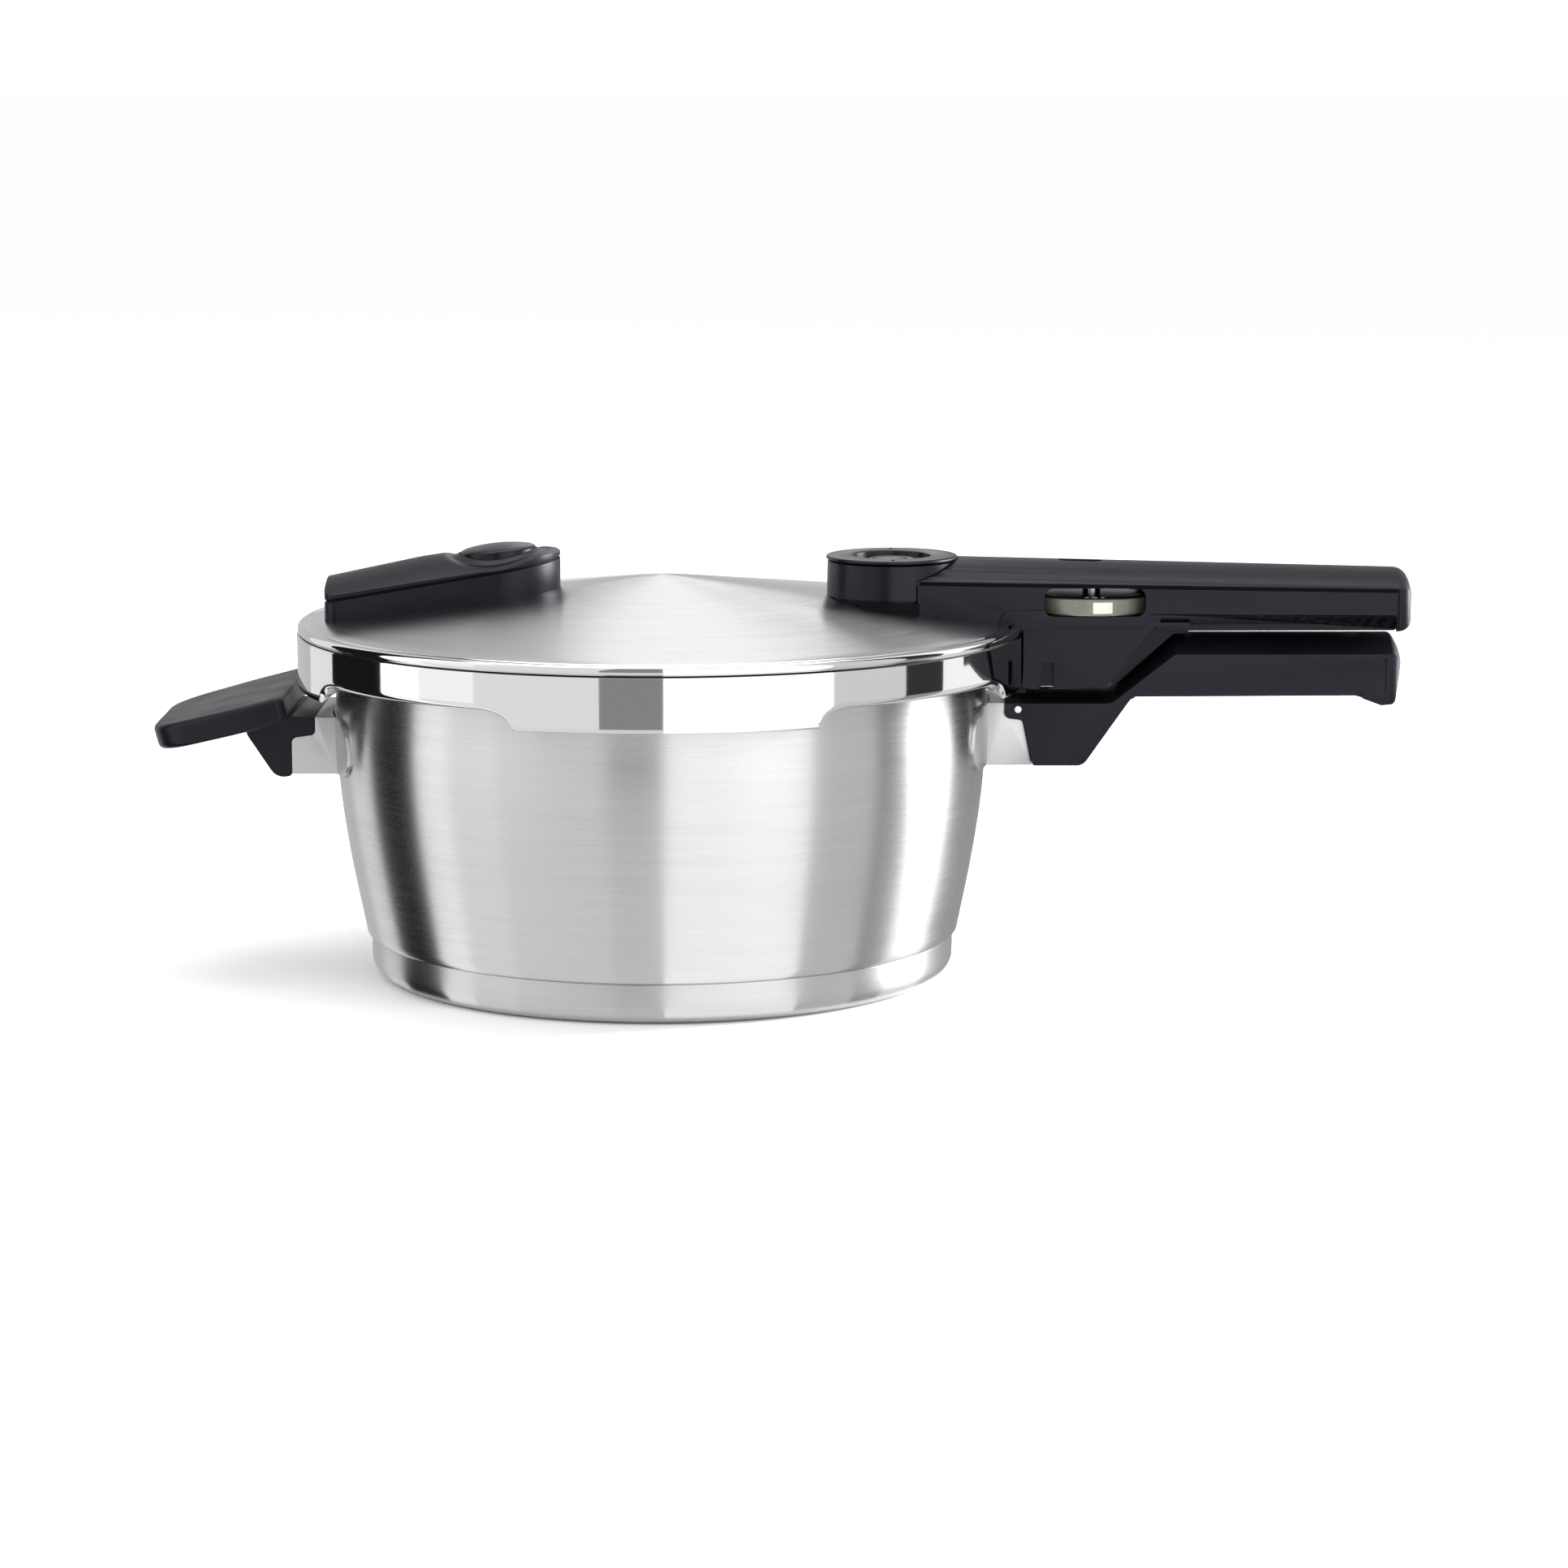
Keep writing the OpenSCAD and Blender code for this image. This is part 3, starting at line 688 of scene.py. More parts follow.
@dataclass
class Pot:
    """The steel pot: wall, rim with bayonet lugs, and the sandwich base."""

    foot_r: float = 99.5
    wall_r: float = 109.2
    wall_t: float = 1.2
    seam: float = 13.8
    straight: float = 86.0
    rim: float = 107.4
    flange_r: float = 112.5
    lug_r: float = 117.5
    lug_deg: float = 38.0
    lug_index: float = 47.1

    def wall_at(self, z: float) -> float:
        """Outer radius of the wall at a height: a quarter sine up to the straight part."""
        part = min(max((z - self.seam) / (self.straight - self.seam), 0), 1)
        return self.foot_r + (self.wall_r - self.foot_r) * sin(pi / 2 * part)

    def build(self) -> None:
        """Makes the wall and the base."""
        self.wall()
        self.base()

    def wall(self) -> None:
        """Spins the wall and joins the lugs onto its rim."""
        rows = 36
        heights = [self.seam + 1.2 + (self.straight - self.seam - 1.2) * k / rows
                   for k in range(rows + 1)]
        foot = self.foot_r - self.wall_t
        outer = [(0, self.seam - 4), (foot - 1.1, self.seam - 4), (foot - 1.1, self.seam - 0.2)]
        outer += [(self.foot_r - 0.7, self.seam + 0.15), (self.foot_r - 0.15, self.seam + 0.6)]
        outer += [(self.wall_at(z), z) for z in heights]
        outer += [(self.wall_r, self.rim - 3.2)]
        outer += arc(self.wall_r + 1.2, self.rim - 3.2, 1.2, 180, 90, 4)[1:]
        outer += arc(self.flange_r - 1, self.rim - 1, 1, -90, 90, 8)
        outer += arc(self.wall_r + 1.3, self.rim - 2.5, 2.5, 90, 180, 6)
        inner = [(self.wall_at(z) - self.wall_t, z) for z in reversed(heights) if z > 20]
        inner += arc(foot - 8.5, 19, 7.8, 0, -90, 10)
        inner += [(0, self.seam - 2.8)]
        piece = as_object(spun(outer + inner, 288), "pot_wall")
        for k in range(4):
            middle = self.lug_index + 90 * k
            lug = fillet([(self.flange_r - 1.5, self.rim - 2, 0), (self.lug_r, self.rim - 2, 0.8),
                          (self.lug_r, self.rim, 0.8), (self.flange_r - 1.5, self.rim, 0)])
            carve(piece, spun(lug, 38, middle - self.lug_deg / 2, self.lug_deg), Cut.ONTO)
        dress(piece, WALL_STEEL, "pot", ("pot_body",))

    def base(self) -> None:
        """Spins the base capsule with its rounded foot."""
        r = self.foot_r - 1.3
        cup = [(0, 0), (r - 8.2, 0)] + arc(r - 6.5, 6.7, 6.5, -75, -8, 8)
        cup += [(r, 9), (r, self.seam - 0.5)] + arc(r - 0.4, self.seam - 0.4, 0.4, 0, 90, 3)
        cup += [(r - 0.8, self.seam), (r - 0.8, 8)] + arc(r - 6.5, 6.7, 5.7, -5, -85, 8)
        cup += [(0, 0.8)]
        piece = as_object(spun(cup, 288), "base_capsule_cup")
        dress(piece, BASE_STEEL, "pot", ("base_capsule",))


# ---------------------------------------------------------------- the lid


@dataclass
class Lid:
    """The lid: a brushed cone, a rolled bead and a polished skirt with bent-in lugs."""

    r: float = 121.8
    apex: float = 134.3
    slope: float = tan(radians(7.5))
    cone_r: float = 117.6
    thick: float = 1.2
    skirt_top: float = 115.4
    deep_z: float = 98.0
    lug_z: float = 103.4
    lug_in_r: float = 113.4
    lug_index: float = 47.1
    cutout_half: float = 21.6
    curve_deg: float = 6.0

    def cone_z(self, r: float) -> float:
        """Height of the cone's outer face at a radius, with a softly rounded apex."""
        return self.apex - self.slope * (sqrt(r * r + 36) - 2.2)

    def outline(self) -> tuple[Outline, int]:
        """The lid's section, and the index of its first skirt point.

        Returns:
            The points as radius and height, and the index.
        """
        outer = [(r, self.cone_z(r)) for r in (0, 1, 2, 4, 6, 9, 13, 20, 40, 60, 80, 100, 112)]
        edge = self.cone_z(self.cone_r)
        outer += [(self.cone_r - 0.5, edge + 0.05), (self.cone_r - 0.1, edge - 0.15),
                  (self.cone_r + 0.2, edge - 0.55), (self.cone_r + 0.6, edge - 0.55)]
        outer += arc(self.r - 2.05, edge - 1.85, 1.85, 118, -48, 12)
        outer += [(self.r - 1.25, self.skirt_top + 0.7), (self.r - 1.25, self.skirt_top + 0.35),
                  (self.r - 0.7, self.skirt_top + 0.15), (self.r - 0.15, self.skirt_top - 0.1)]
        first = len(outer)
        outer += [(self.r, self.skirt_top - (self.skirt_top - self.deep_z) * (k / 16) ** 0.6)
                  for k in range(17)]
        outer += [(self.r - 0.2, self.deep_z - 0.2), (self.r - self.thick, self.deep_z - 0.1)]
        outer += [(self.r - self.thick, self.deep_z + 1.6), (self.r - self.thick - 0.1, 107)]
        outer += [(self.r - self.thick, self.skirt_top)]
        outer += [(r, self.cone_z(r) - self.thick) for r in (118, 112, 80, 40, 13, 6, 2, 0)]
        return outer, first

    def groove(self) -> None:
        """A near-black ring at the bottom of the groove between the bead and the skirt: painted shade."""
        low, high = self.skirt_top + 0.1, self.skirt_top + 0.85
        ring = [(self.r - 1.6, low), (self.r - 0.62, low), (self.r - 0.9, high), (self.r - 1.6, high)]
        # The near-black ring paints the groove's shade
        dress(as_object(spun(ring, 360), "lid_groove_shade"), PAINTED_GROOVE_SHADE, "lid", ())

    def lugness(self, angle: float) -> float:
        """0 in a deep stretch of the skirt and 1 in a lug stretch, with rounded steps.

        Args:
            angle: bearing round the axis in degrees, from +X.

        Returns:
            A share from 0 to 1.
        """
        off = abs((angle - self.lug_index + 45) % 90 - 45)
        inside = self.cutout_half - off
        if inside <= 0:
            return 0.0
        part = min(inside / self.curve_deg, 1.0)
        return sqrt(1 - (1 - part) ** 2)

    def build(self) -> None:
        """Spins the lid, shapes the skirt's edge and splits the finishes."""
        self.groove()
        outline, first = self.outline()
        bm = spun(outline, 720)
        self.bend_skirt(bm, outline, first)
        piece = as_object(bm, "lid_dome")
        for x, y, hole in ((77.3, 0, 6.1), (103, 9.5, 3.1), (103, -9.5, 2.6), (-54.2, 0, 2.6)):
            carve(piece, moved(rod(100, 140, hole), x, y))
        dress(piece, CONE_STEEL, "lid", ("lid_shell",), 50)
        piece.data.materials.append(MIRROR_STEEL.material())
        for face in piece.data.polygons:
            spot = face.center / MM
            if sqrt(spot.x ** 2 + spot.y ** 2) > self.cone_r - 0.5:
                face.material_index = 1

    def bend_skirt(self, bm: bmesh.types.BMesh, outline: Outline, first: int) -> None:
        """Lifts the skirt's edge at the lug stretches and bends it in under the pot's lugs.

        Args:
            bm: the spun lid, which changes.
            outline: the section that it was spun from.
            first: index of the section's first skirt point.
        """
        rows = {}
        for row, (r, z) in enumerate(outline):
            rows.setdefault((round(r, 3), round(z, 3)), row)
        last = first + 17
        full = self.skirt_top - self.deep_z
        inner_rows = {last + 1: 0, last + 2: 1, last + 3: 2}
        for vert in bm.verts:
            r = sqrt(vert.co.x ** 2 + vert.co.y ** 2)
            row = rows.get((round(r, 3), round(vert.co.z, 3)))
            if row is None:
                row = min(range(len(outline)),
                          key=lambda i: abs(outline[i][0] - r) + abs(outline[i][1] - vert.co.z))
            angle = degrees(atan2(vert.co.y, vert.co.x))
            lug = self.lugness(angle)
            bottom = self.deep_z + (self.lug_z - self.deep_z) * lug
            new_r, new_z = r, vert.co.z
            if first <= row <= last:
                new_z = bottom + (vert.co.z - self.deep_z) * (self.skirt_top - bottom) / full
                bend = 0.5 + 1.7 * lug
                deep = max(bend - (new_z - bottom), 0)
                new_r = self.r - (bend - sqrt(max(bend * bend - deep * deep, 0)))
                if row == last:
                    new_r -= 0.5
            elif row in inner_rows:
                reach = self.r - self.thick - (self.r - self.thick - self.lug_in_r) * lug
                new_r = reach if inner_rows[row] < 2 else self.r - self.thick - 0.1
                new_z = bottom + (0, 1.6, 1.7 + 0.9 * (1 - lug))[inner_rows[row]]
            if new_r != r or new_z != vert.co.z:
                vert.co.x *= new_r / r
                vert.co.y *= new_r / r
                vert.co.z = new_z

    def under(self) -> bmesh.types.BMesh:
        """The room below the lid's outer face, used to seat parts on the cone."""
        line = [(r, self.cone_z(r) - 0.05) for r in (0, 6, 13, 40, 80, 112, 118)]
        return spun(line + [(121, 117), (121, 60), (0, 60)], 192)


# ---------------------------------------------------------------- long handles


@dataclass
class LidHandle:
    """The lid's long handle: crowned top shell and a lower shell with the lock's plate."""

    lid: Lid
    bar: CrownedBar = CrownedBar(78.3, 249.8, 21.0, 17.5, 116.6, 133.9, 130.9, 6.4, 4.4)
    valve_x: float = 77.3
    valve_r: float = 22.4
    tray_x: float = 166.0
    rim_x: float = 244.7
    groove_drop: float = 0.8
    dial_x: float = 144.3
    slot_low: float = 121.8
    slot_high: float = 131.3
    slot_half: float = 16.9
    bolt_x: float = 128.7
    window_x: float = 140.2

    def build(self) -> None:
        """Makes both shells."""
        self.top_shell()
        self.lower_shell()
        self.window()

    def edge_at(self, x: float) -> tuple[float, float]:
        """Half width and edge height of the bar at a distance from the pot's axis.

        Args:
            x: distance from the pot's axis.

        Returns:
            The half width and the height.
        """
        part = (x - self.bar.x0) / (self.bar.x1 - self.bar.x0)
        width = self.bar.width0 + (self.bar.width1 - self.bar.width0) * part
        return width, self.bar.edge0 + (self.bar.edge1 - self.bar.edge0) * part

    def side_groove(self, side: int, x0: float, x1: float, z0: float, z1: float,
                    tall: float, deep: float) -> bmesh.types.BMesh:
        """A straight groove in one side face, as a thin cutter.

        Args:
            side: -1 for the near side, 1 for the far side.
            x0: where it starts.
            x1: where it ends.
            z0: its height at the start.
            z1: its height at the end.
            tall: its height across.
            deep: how deep it goes.

        Returns:
            The cutter.
        """
        w0, w1 = self.edge_at(x0)[0], self.edge_at(x1)[0]
        outline = [(x0, -deep), (x1, w1 - w0 - deep), (x1, 5), (x0, 5)]
        bm = extruded([(u, side * (v + w0)) for u, v in outline], z0 - tall / 2, z0 + tall / 2,
                      Plane.PLAN)
        for vert in bm.verts:
            vert.co.z += (z1 - z0) * (vert.co.x - x0) / (x1 - x0)
        return bm

    def slot_cutter(self) -> bmesh.types.BMesh:
        """The round-ended slot that the selector looks out of.

        Returns:
            The cutter.
        """
        half = self.slot_half
        corners = [(self.dial_x - half, self.slot_low, 3.2), (self.dial_x + half, self.slot_low, 3.2),
                   (self.dial_x + half, self.slot_high, 3.2), (self.dial_x - half, self.slot_high, 3.2)]
        return extruded(fillet(corners), -30, 30, Plane.SIDE)

    def top_shell(self) -> None:
        """The crowned upper shell with its slot, window hole and parting grooves."""
        piece = as_object(self.bar.build(), "lid_handle_shell")
        carve(piece, self.lid.under())
        carve(piece, block((70, -30, 100), (self.tray_x, 30, 118)))
        hollow = CrownedBar(self.bar.x0 - 3, self.bar.x1 - 3, 19.1, 15.6, 110.0, 132.2, 129.2, 6.0, 2.0)
        carve(piece, hollow.build())
        carve(piece, moved(rod(90, 150, self.valve_r, 128), self.valve_x))
        carve(piece, self.slot_cutter())
        carve(piece, extruded(self.window_outline(0), 120, 150, Plane.PLAN))
        for side in (-1, 1):
            carve(piece, self.lower_chamfer(side))
            x0, x1 = 84.0, self.rim_x + 0.6
            z0, z1 = (self.edge_at(x)[1] - self.groove_drop for x in (x0, x1))
            carve(piece, self.side_groove(side, x0, x1, z0, z1, 1.2, 1.1))
            carve(piece, self.side_groove(side, 162.5, self.rim_x, 122.6, 121.9, 0.4, 0.45))
            w = self.edge_at(self.rim_x)[0]
            near, far = sorted((side * (w - 1.0), side * (w + 1.0)))
            carve(piece, block((self.rim_x, near, 112), (self.rim_x + 0.8, far, z1)))
            carve(piece, self.shoulder_line(side))
        round_edges(piece, 0.3, 2)
        dress(piece, PHENOLIC, "lid", ("lid_handle_top",))
        self.seam_shades()

    def seam_shades(self) -> None:
        """A near-black strip deep in the groove under the crowned top: painted shade."""
        bar = self.bar
        sunk = CrownedBar(bar.x0 + 3, bar.x1 - 0.6, bar.width0 - 0.55, bar.width1 - 0.55,
                          bar.bottom, bar.edge0, bar.edge1, 6, 4)
        for side in (-1, 1):
            x0, x1 = 84.2, self.rim_x + 0.4
            z0, z1 = (self.edge_at(x)[1] - self.groove_drop for x in (x0, x1))
            # Near-black strip in the groove: painted shade
            strip = as_object(self.side_groove(side, x0, x1, z0, z1, 1.18, 1.05), "lid_handle_seam_shade")
            carve(strip, sunk.build(), Cut.WITHIN)
            carve(strip, moved(rod(90, 150, self.valve_r + 0.2, 128), self.valve_x))
            dress(strip, DULL_PLASTIC_AND_SEAM_SHADE, "lid", ())

    def lower_chamfer(self, side: int) -> bmesh.types.BMesh:
        """The slanted underside of the far part, which ends at the end rim.

        Args:
            side: -1 for the near side, 1 for the far side.

        Returns:
            The cutter.
        """
        w0, w1 = self.edge_at(self.tray_x)[0], self.edge_at(self.rim_x)[0]
        outline = [(side * (w0 + 1), 122.0), (side * (w0 + 1), 110), (side * (w0 - 4.2), 110),
                   (side * (w0 - 4.2), 116.6), (side * w0, 121.4)]
        bm = extruded(outline, self.tray_x, self.rim_x, Plane.END)
        for vert in bm.verts:
            vert.co.y += side * (w1 - w0) * (vert.co.x - self.tray_x) / (self.rim_x - self.tray_x)
        return bm

    def shoulder_line(self, side: int) -> bmesh.types.BMesh:
        """The engraved line that curves up from the cone and runs to the selector's slot.

        Args:
            side: -1 for the near side, 1 for the far side.

        Returns:
            The cutter.
        """
        upper = arc(117.0, 119.6, 4.8, 190, 90, 8) + [(127.0, 124.4)]
        lower = [(127.0, 123.9)] + arc(117.0, 119.6, 4.3, 90, 190, 8)
        width = self.edge_at(119)[0]
        near, far = sorted((side * (width - 0.35), side * (width + 3)))
        return extruded(upper + lower, near, far, Plane.SIDE)

    def window_outline(self, inset: float) -> Outline:
        """The oval of the lock's window, seen from above.

        Args:
            inset: how far the outline lies inside the hole.

        Returns:
            The outline.
        """
        long, wide = 7.7 - inset, 3.5 - inset
        low, high, corner = self.window_x - long, self.window_x + long, wide * 0.98
        return fillet([(low, -wide, corner), (high, -wide, corner), (high, wide, corner),
                       (low, wide, corner)])

    def window(self) -> None:
        """A slightly sunk, softly crowned lens."""
        piece = as_object(extruded(self.window_outline(0.12), 136.6, 138.0, Plane.PLAN), "lock_window")
        round_edges(piece, 0.35, 3, 60)
        dress(piece, WINDOW, "lid", ("window_lens",))

    def lower_shell(self) -> None:
        """The lower shell: a closing plate, and the plate that hangs in front of the rim."""
        rim = self.lid.r - 4
        plate = fillet([(rim, 98.1, 1.2), (148.3, 98.1, 3.0), (163.9, 118.4, 4.0), (176, 118.4, 0),
                        (176, 119.9, 0), (112.5, 119.9, 0), (113.6, 117.9, 0), (rim, 116.6, 3.0)])
        piece = as_object(extruded(plate, -19.3, 19.3, Plane.SIDE), "lid_handle_plate")
        carve(piece, rod(80, 117.2, self.lid.r + 0.4, 360))
        carve(piece, self.lid.under())
        carve(piece, moved(rod(90, 150, 1.95), self.bolt_x))
        carve(piece, moved(rod(108, 117.9, 3.6), self.bolt_x))
        slot = fillet([(self.bolt_x - 2.1, 90, 0), (self.bolt_x + 2.1, 90, 0),
                       (self.bolt_x + 2.1, 106.6, 0.6), (self.bolt_x - 2.1, 106.6, 0.6)])
        for side in (-1, 1):
            carve(piece, extruded(slot, *sorted((side * 15.5, side * 30)), Plane.SIDE))
        rib = [(146, 99.0), (152.4, 98.6), (170.9, 115.2), (176, 115.6), (176, 119.0), (162, 119.0)]
        carve(piece, extruded(rib, -12, 12, Plane.SIDE), Cut.ONTO)
        round_edges(piece, 0.35, 3)
        dress(piece, PHENOLIC, "lid", ("lid_handle_base",))
        closing = fillet([(165, -16.2, 0), (245, -14.9, 2), (245, 14.9, 2), (165, 16.2, 0)])
        cover = as_object(extruded(closing, 116.7, 119.9, Plane.PLAN), "lid_handle_cover")
        for x in (176, 232):
            carve(cover, moved(rod(110, 130, 1.65), x))
            carve(cover, moved(rod(110, 118, 3.15), x))
        round_edges(cover, 0.3, 2)
        dress(cover, PHENOLIC, "lid", ())


@dataclass
class PotHandle:
    """The pot's long handle with its metal sleeve and weld bracket."""

    pot: Pot
    half: float = 17.0
    sleeve_half: float = 15.0
    sleeve_low: float = 71.5
    sleeve_high: float = 92.6
    neck_z: float = 82.0
    bottom_z: float = 94.8
    bolt_x: float = 128.7
    pin: tuple[float, float] = (119.2, 90.5)

    def build(self) -> None:
        """Makes the handle, its pin, the sleeve and the bracket."""
        self.grip()
        self.pin_ends()
        self.sleeve()
        self.bracket()

    def grip(self) -> None:
        """The black handle: a cranked outline under a crowned top."""
        corners = [(124.2, 71.5, 0.8), (141, 71.5, 4.0), (157, 94.4, 3.0), (232, 94.8, 8.0),
                   (240.2, 91.8, 2.2), (244.9, 92.2, 2.0), (246.8, 110.4, 2.5), (244.6, 114.4, 2.0),
                   (171.4, 114.4, 3.0), (150.2, 95.4, 4.0), (114.8, 95.4, 0.8), (114.8, 87.9, 1.5),
                   (121.0, 87.0, 2.0)]
        shape = extruded(fillet(corners), -self.half, self.half, Plane.SIDE)
        for k in range(1, 14):
            cut_y = self.half * (k / 7 - 1)
            bmesh.ops.bisect_plane(shape, geom=shape.verts[:] + shape.edges[:] + shape.faces[:],
                                   plane_co=(0, cut_y, 0), plane_no=(0, 1, 0), dist=1e-4)
        for vert in shape.verts:
            if vert.co.z > self.bottom_z + 0.2:
                vert.co.z -= self.drop_at(vert.co.x) * (vert.co.y / self.half) ** 2
        piece = as_object(shape, "pot_handle_grip")
        carve(piece, block((115.4, -8, 94), (122.2, 8, 97.3)), Cut.ONTO)
        ends = fillet([(100, -self.half - 0.1, 0), (247.5, -self.half - 0.1, 5.5),
                       (247.5, self.half + 0.1, 5.5), (100, self.half + 0.1, 0)], 8)
        carve(piece, extruded(ends, 60, 130, Plane.PLAN), Cut.WITHIN)
        for side in (-1, 1):
            out, inside = side * (self.half + 1), side * (self.half - 2.2)
            lower = [(out, 97.9), (out, 90), (inside, 90), (inside, self.bottom_z),
                     (side * (self.half + 0.2), 97.1)]
            carve(piece, extruded(lower, 158, 234, Plane.END))
            near, far = sorted((side * (self.half - 0.6), side * (self.half + 1.0)))
            carve(piece, block((241.2, near, 96.5), (241.7, far, 107.6)))
        carve(piece, moved(rod(80, 90, 2.4), self.bolt_x, 0, 6))
        bore = turned(rod(0, 30, 5.0), 90, "Y", (0, 0, 0))
        carve(piece, moved(bore, 135, 0, self.neck_z))
        groove = spun(fillet([(1.6, -3, 0), (2.1, -3, 0), (2.1, 3, 0), (1.6, 3, 0)]), 32)
        for side in (-1, 1):
            ring = turned(groove.copy(), 90, "X", (0, 0, 0))
            carve(piece, moved(ring, self.pin[0], side * (self.half + 2.6), self.pin[1]))
        groove.free()
        round_edges(piece, 0.9, 3, 28)
        dress(piece, PHENOLIC, "pot", ("pot_handle",))

    def pin_ends(self) -> None:
        """The two domed ends of the cross pin."""
        head = spun([(0, -0.4), (1.35, -0.4), (1.35, 0.15), (1.1, 0.42), (0, 0.5)], 32)
        turned(head, 90, "X", (0, 0, 0))
        both = bmesh.new()
        for side in (-1, 1):
            one = head.copy()
            if side > 0:
                turned(one, 180, "Z", (0, 0, 0))
            moved(one, self.pin[0], side * self.half, self.pin[1])
            mesh = bpy.data.meshes.new("pin_end")
            one.to_mesh(mesh)
            both.from_mesh(mesh)
            one.free()
        ends = as_object(both, "pot_handle_pin_ends")
        dress(ends, TURNED_STEEL, "pot", ("pot_handle_pin",))

    def drop_at(self, x: float) -> float:
        """How far the crowned top falls from its ridge to its edge at a distance."""
        return 3.0 + 2.5 * min(max((x - 150) / 22, 0), 1)

    def sleeve(self) -> None:
        """The satin sleeve that the handle's neck plugs into."""
        outline = fillet([(100, self.sleeve_low, 0), (124.1, self.sleeve_low, 0.3), (121.0, 86.8, 1.8),
                          (115.0, 87.5, 1.8), (115.0, self.sleeve_high, 0.3), (100, self.sleeve_high, 0)])
        hollow = block((95, SLEEVE_WALL - self.sleeve_half, self.sleeve_low + SLEEVE_WALL),
                       (130, self.sleeve_half - SLEEVE_WALL, self.sleeve_high - SLEEVE_WALL))
        plug_sleeve("handle_sleeve_shell", outline, self.sleeve_half, hollow, self.pot, "handle_sleeve")

    def bracket(self) -> None:
        """The curved weld plate with rounded ends."""
        weld_plate("handle_weld_plate", 37.0, self.sleeve_low, self.sleeve_high, 1, self.pot,
                   ("handle_bracket",))


def plug_sleeve(name: str, outline: Outline, half: float, hollow: bmesh.types.BMesh, pot: Pot,
                node: str) -> None:
    """A hollow metal sleeve that stands on the pot's wall.

    Args:
        name: the piece's name.
        outline: its outline seen from the side.
        half: half its width.
        hollow: the room inside it, which is used up.
        pot: the pot whose wall it stands on.
        node: the design node that it stands for.
    """
    piece = as_object(extruded(outline, -half, half, Plane.SIDE), name)
    carve(piece, hollow)
    carve(piece, rod(40, 120, pot.wall_r + 0.3, 288))
    round_edges(piece, 0.7, 3)
    dress(piece, BLASTED_STEEL, "pot", (node,))


def weld_plate(name: str, half: float, low: float, high: float, side: int, pot: Pot,
               nodes: tuple[str, ...]) -> None:
    """A curved plate welded to the wall, with rounded ends.

    Args:
        name: the piece's name.
        half: half its width.
        low: its lower edge.
        high: its upper edge.
        side: 1 on the +X side, -1 on the -X side.
        pot: the pot that it is welded to.
        nodes: the design nodes that it stands for.
    """
    heights = [low - 4 + (high - low + 8) * k / 8 for k in range(9)]
    ring = [(pot.wall_at(z) + 0.02, z) for z in heights]
    ring += [(pot.wall_at(z) + 1.1, z) for z in reversed(heights)]
    middle = 0 if side > 0 else 180
    piece = as_object(spun(ring, 96, middle - 24, 48), name)
    corner = (high - low) / 2 - 0.1
    pad = fillet([(-half, low, corner), (half, low, corner), (half, high, corner),
                  (-half, high, corner)], 10)
    carve(piece, extruded(pad, side * 80, side * 130, Plane.END), Cut.WITHIN)
    round_edges(piece, 0.4, 2)
    dress(piece, BLASTED_STEEL, "pot", nodes)


# ---------------------------------------------------------------- side grip and helper grip


@dataclass
class SideGrip:
    """The short grip opposite the long handle, with its sleeve and weld bracket."""

    pot: Pot
    root_x: float = -124.0
    tip_x: float = -168.8
    half: float = 38.0
    root_z: float = 97.6
    thick: float = 8.5
    tilt: float = 14.5
    sleeve_half: float = 24.0
    low: float = 69.8
    high: float = 88.9

    def build(self) -> None:
        """Makes the grip, its sleeve and its weld plate."""
        self.grip()
        self.sleeve()

    def grip(self) -> None:
        """The black grip: a tilted blade with a lobe that plugs into the sleeve."""
        length = (self.root_x - self.tip_x) / cos(radians(self.tilt))
        plan = fillet([(0, -self.half, 3), (-18, -self.half - 0.5, 40), (-length, -self.half + 6, 17),
                       (-length, self.half - 6, 17), (-18, self.half + 0.5, 40), (0, self.half, 3)], 10)
        shape = extruded(plan, -self.thick, 0, Plane.PLAN)
        rims = [e for e in shape.edges if abs(e.verts[0].co.z - e.verts[1].co.z) < 0.01]
        bmesh.ops.bevel(shape, geom=rims, offset=2.4, offset_type="OFFSET", segments=5, profile=0.6,
                        affect="EDGES", material=-1)
        turned(shape, -self.tilt, "Y", (0, 0, 0))
        moved(shape, self.root_x, 0, self.root_z)
        piece = as_object(shape, "side_grip_body")
        lobe = fillet([(-122.4, 69.2, 1), (-127.5, 68.4, 5), (-136.8, 82.5, 6), (-140, 90, 0),
                       (-128, 92, 0), (-122.9, 95.5, 1.5), (-122.9, 89.2, 0.5),
                       (-114.6, 88.8, 0.8), (-114.6, 83.2, 1.5), (-122.4, 82.2, 1.5)])
        carve(piece, extruded(lobe, -self.sleeve_half, self.sleeve_half, Plane.SIDE), Cut.ONTO)
        round_edges(piece, 0.7, 3, 38)
        dress(piece, PHENOLIC, "pot", ("side_grip",))

    def sleeve(self) -> None:
        """The satin sleeve between the grip and the wall, and its weld plate."""
        outline = fillet([(-100, self.low, 0), (-122.3, self.low, 0.3), (-122.3, 82.1, 1.8),
                          (-114.5, 83, 1.8), (-114.5, self.high, 0.3), (-100, self.high, 0)])
        hollow = block((-130, SLEEVE_WALL - self.sleeve_half, self.low + SLEEVE_WALL),
                       (-95, self.sleeve_half - SLEEVE_WALL, self.high - SLEEVE_WALL))
        plug_sleeve("grip_sleeve_shell", outline, self.sleeve_half, hollow, self.pot, "grip_sleeve")
        weld_plate("grip_weld_plate", 41.0, self.low, self.high, -1, self.pot, ("grip_bracket",))


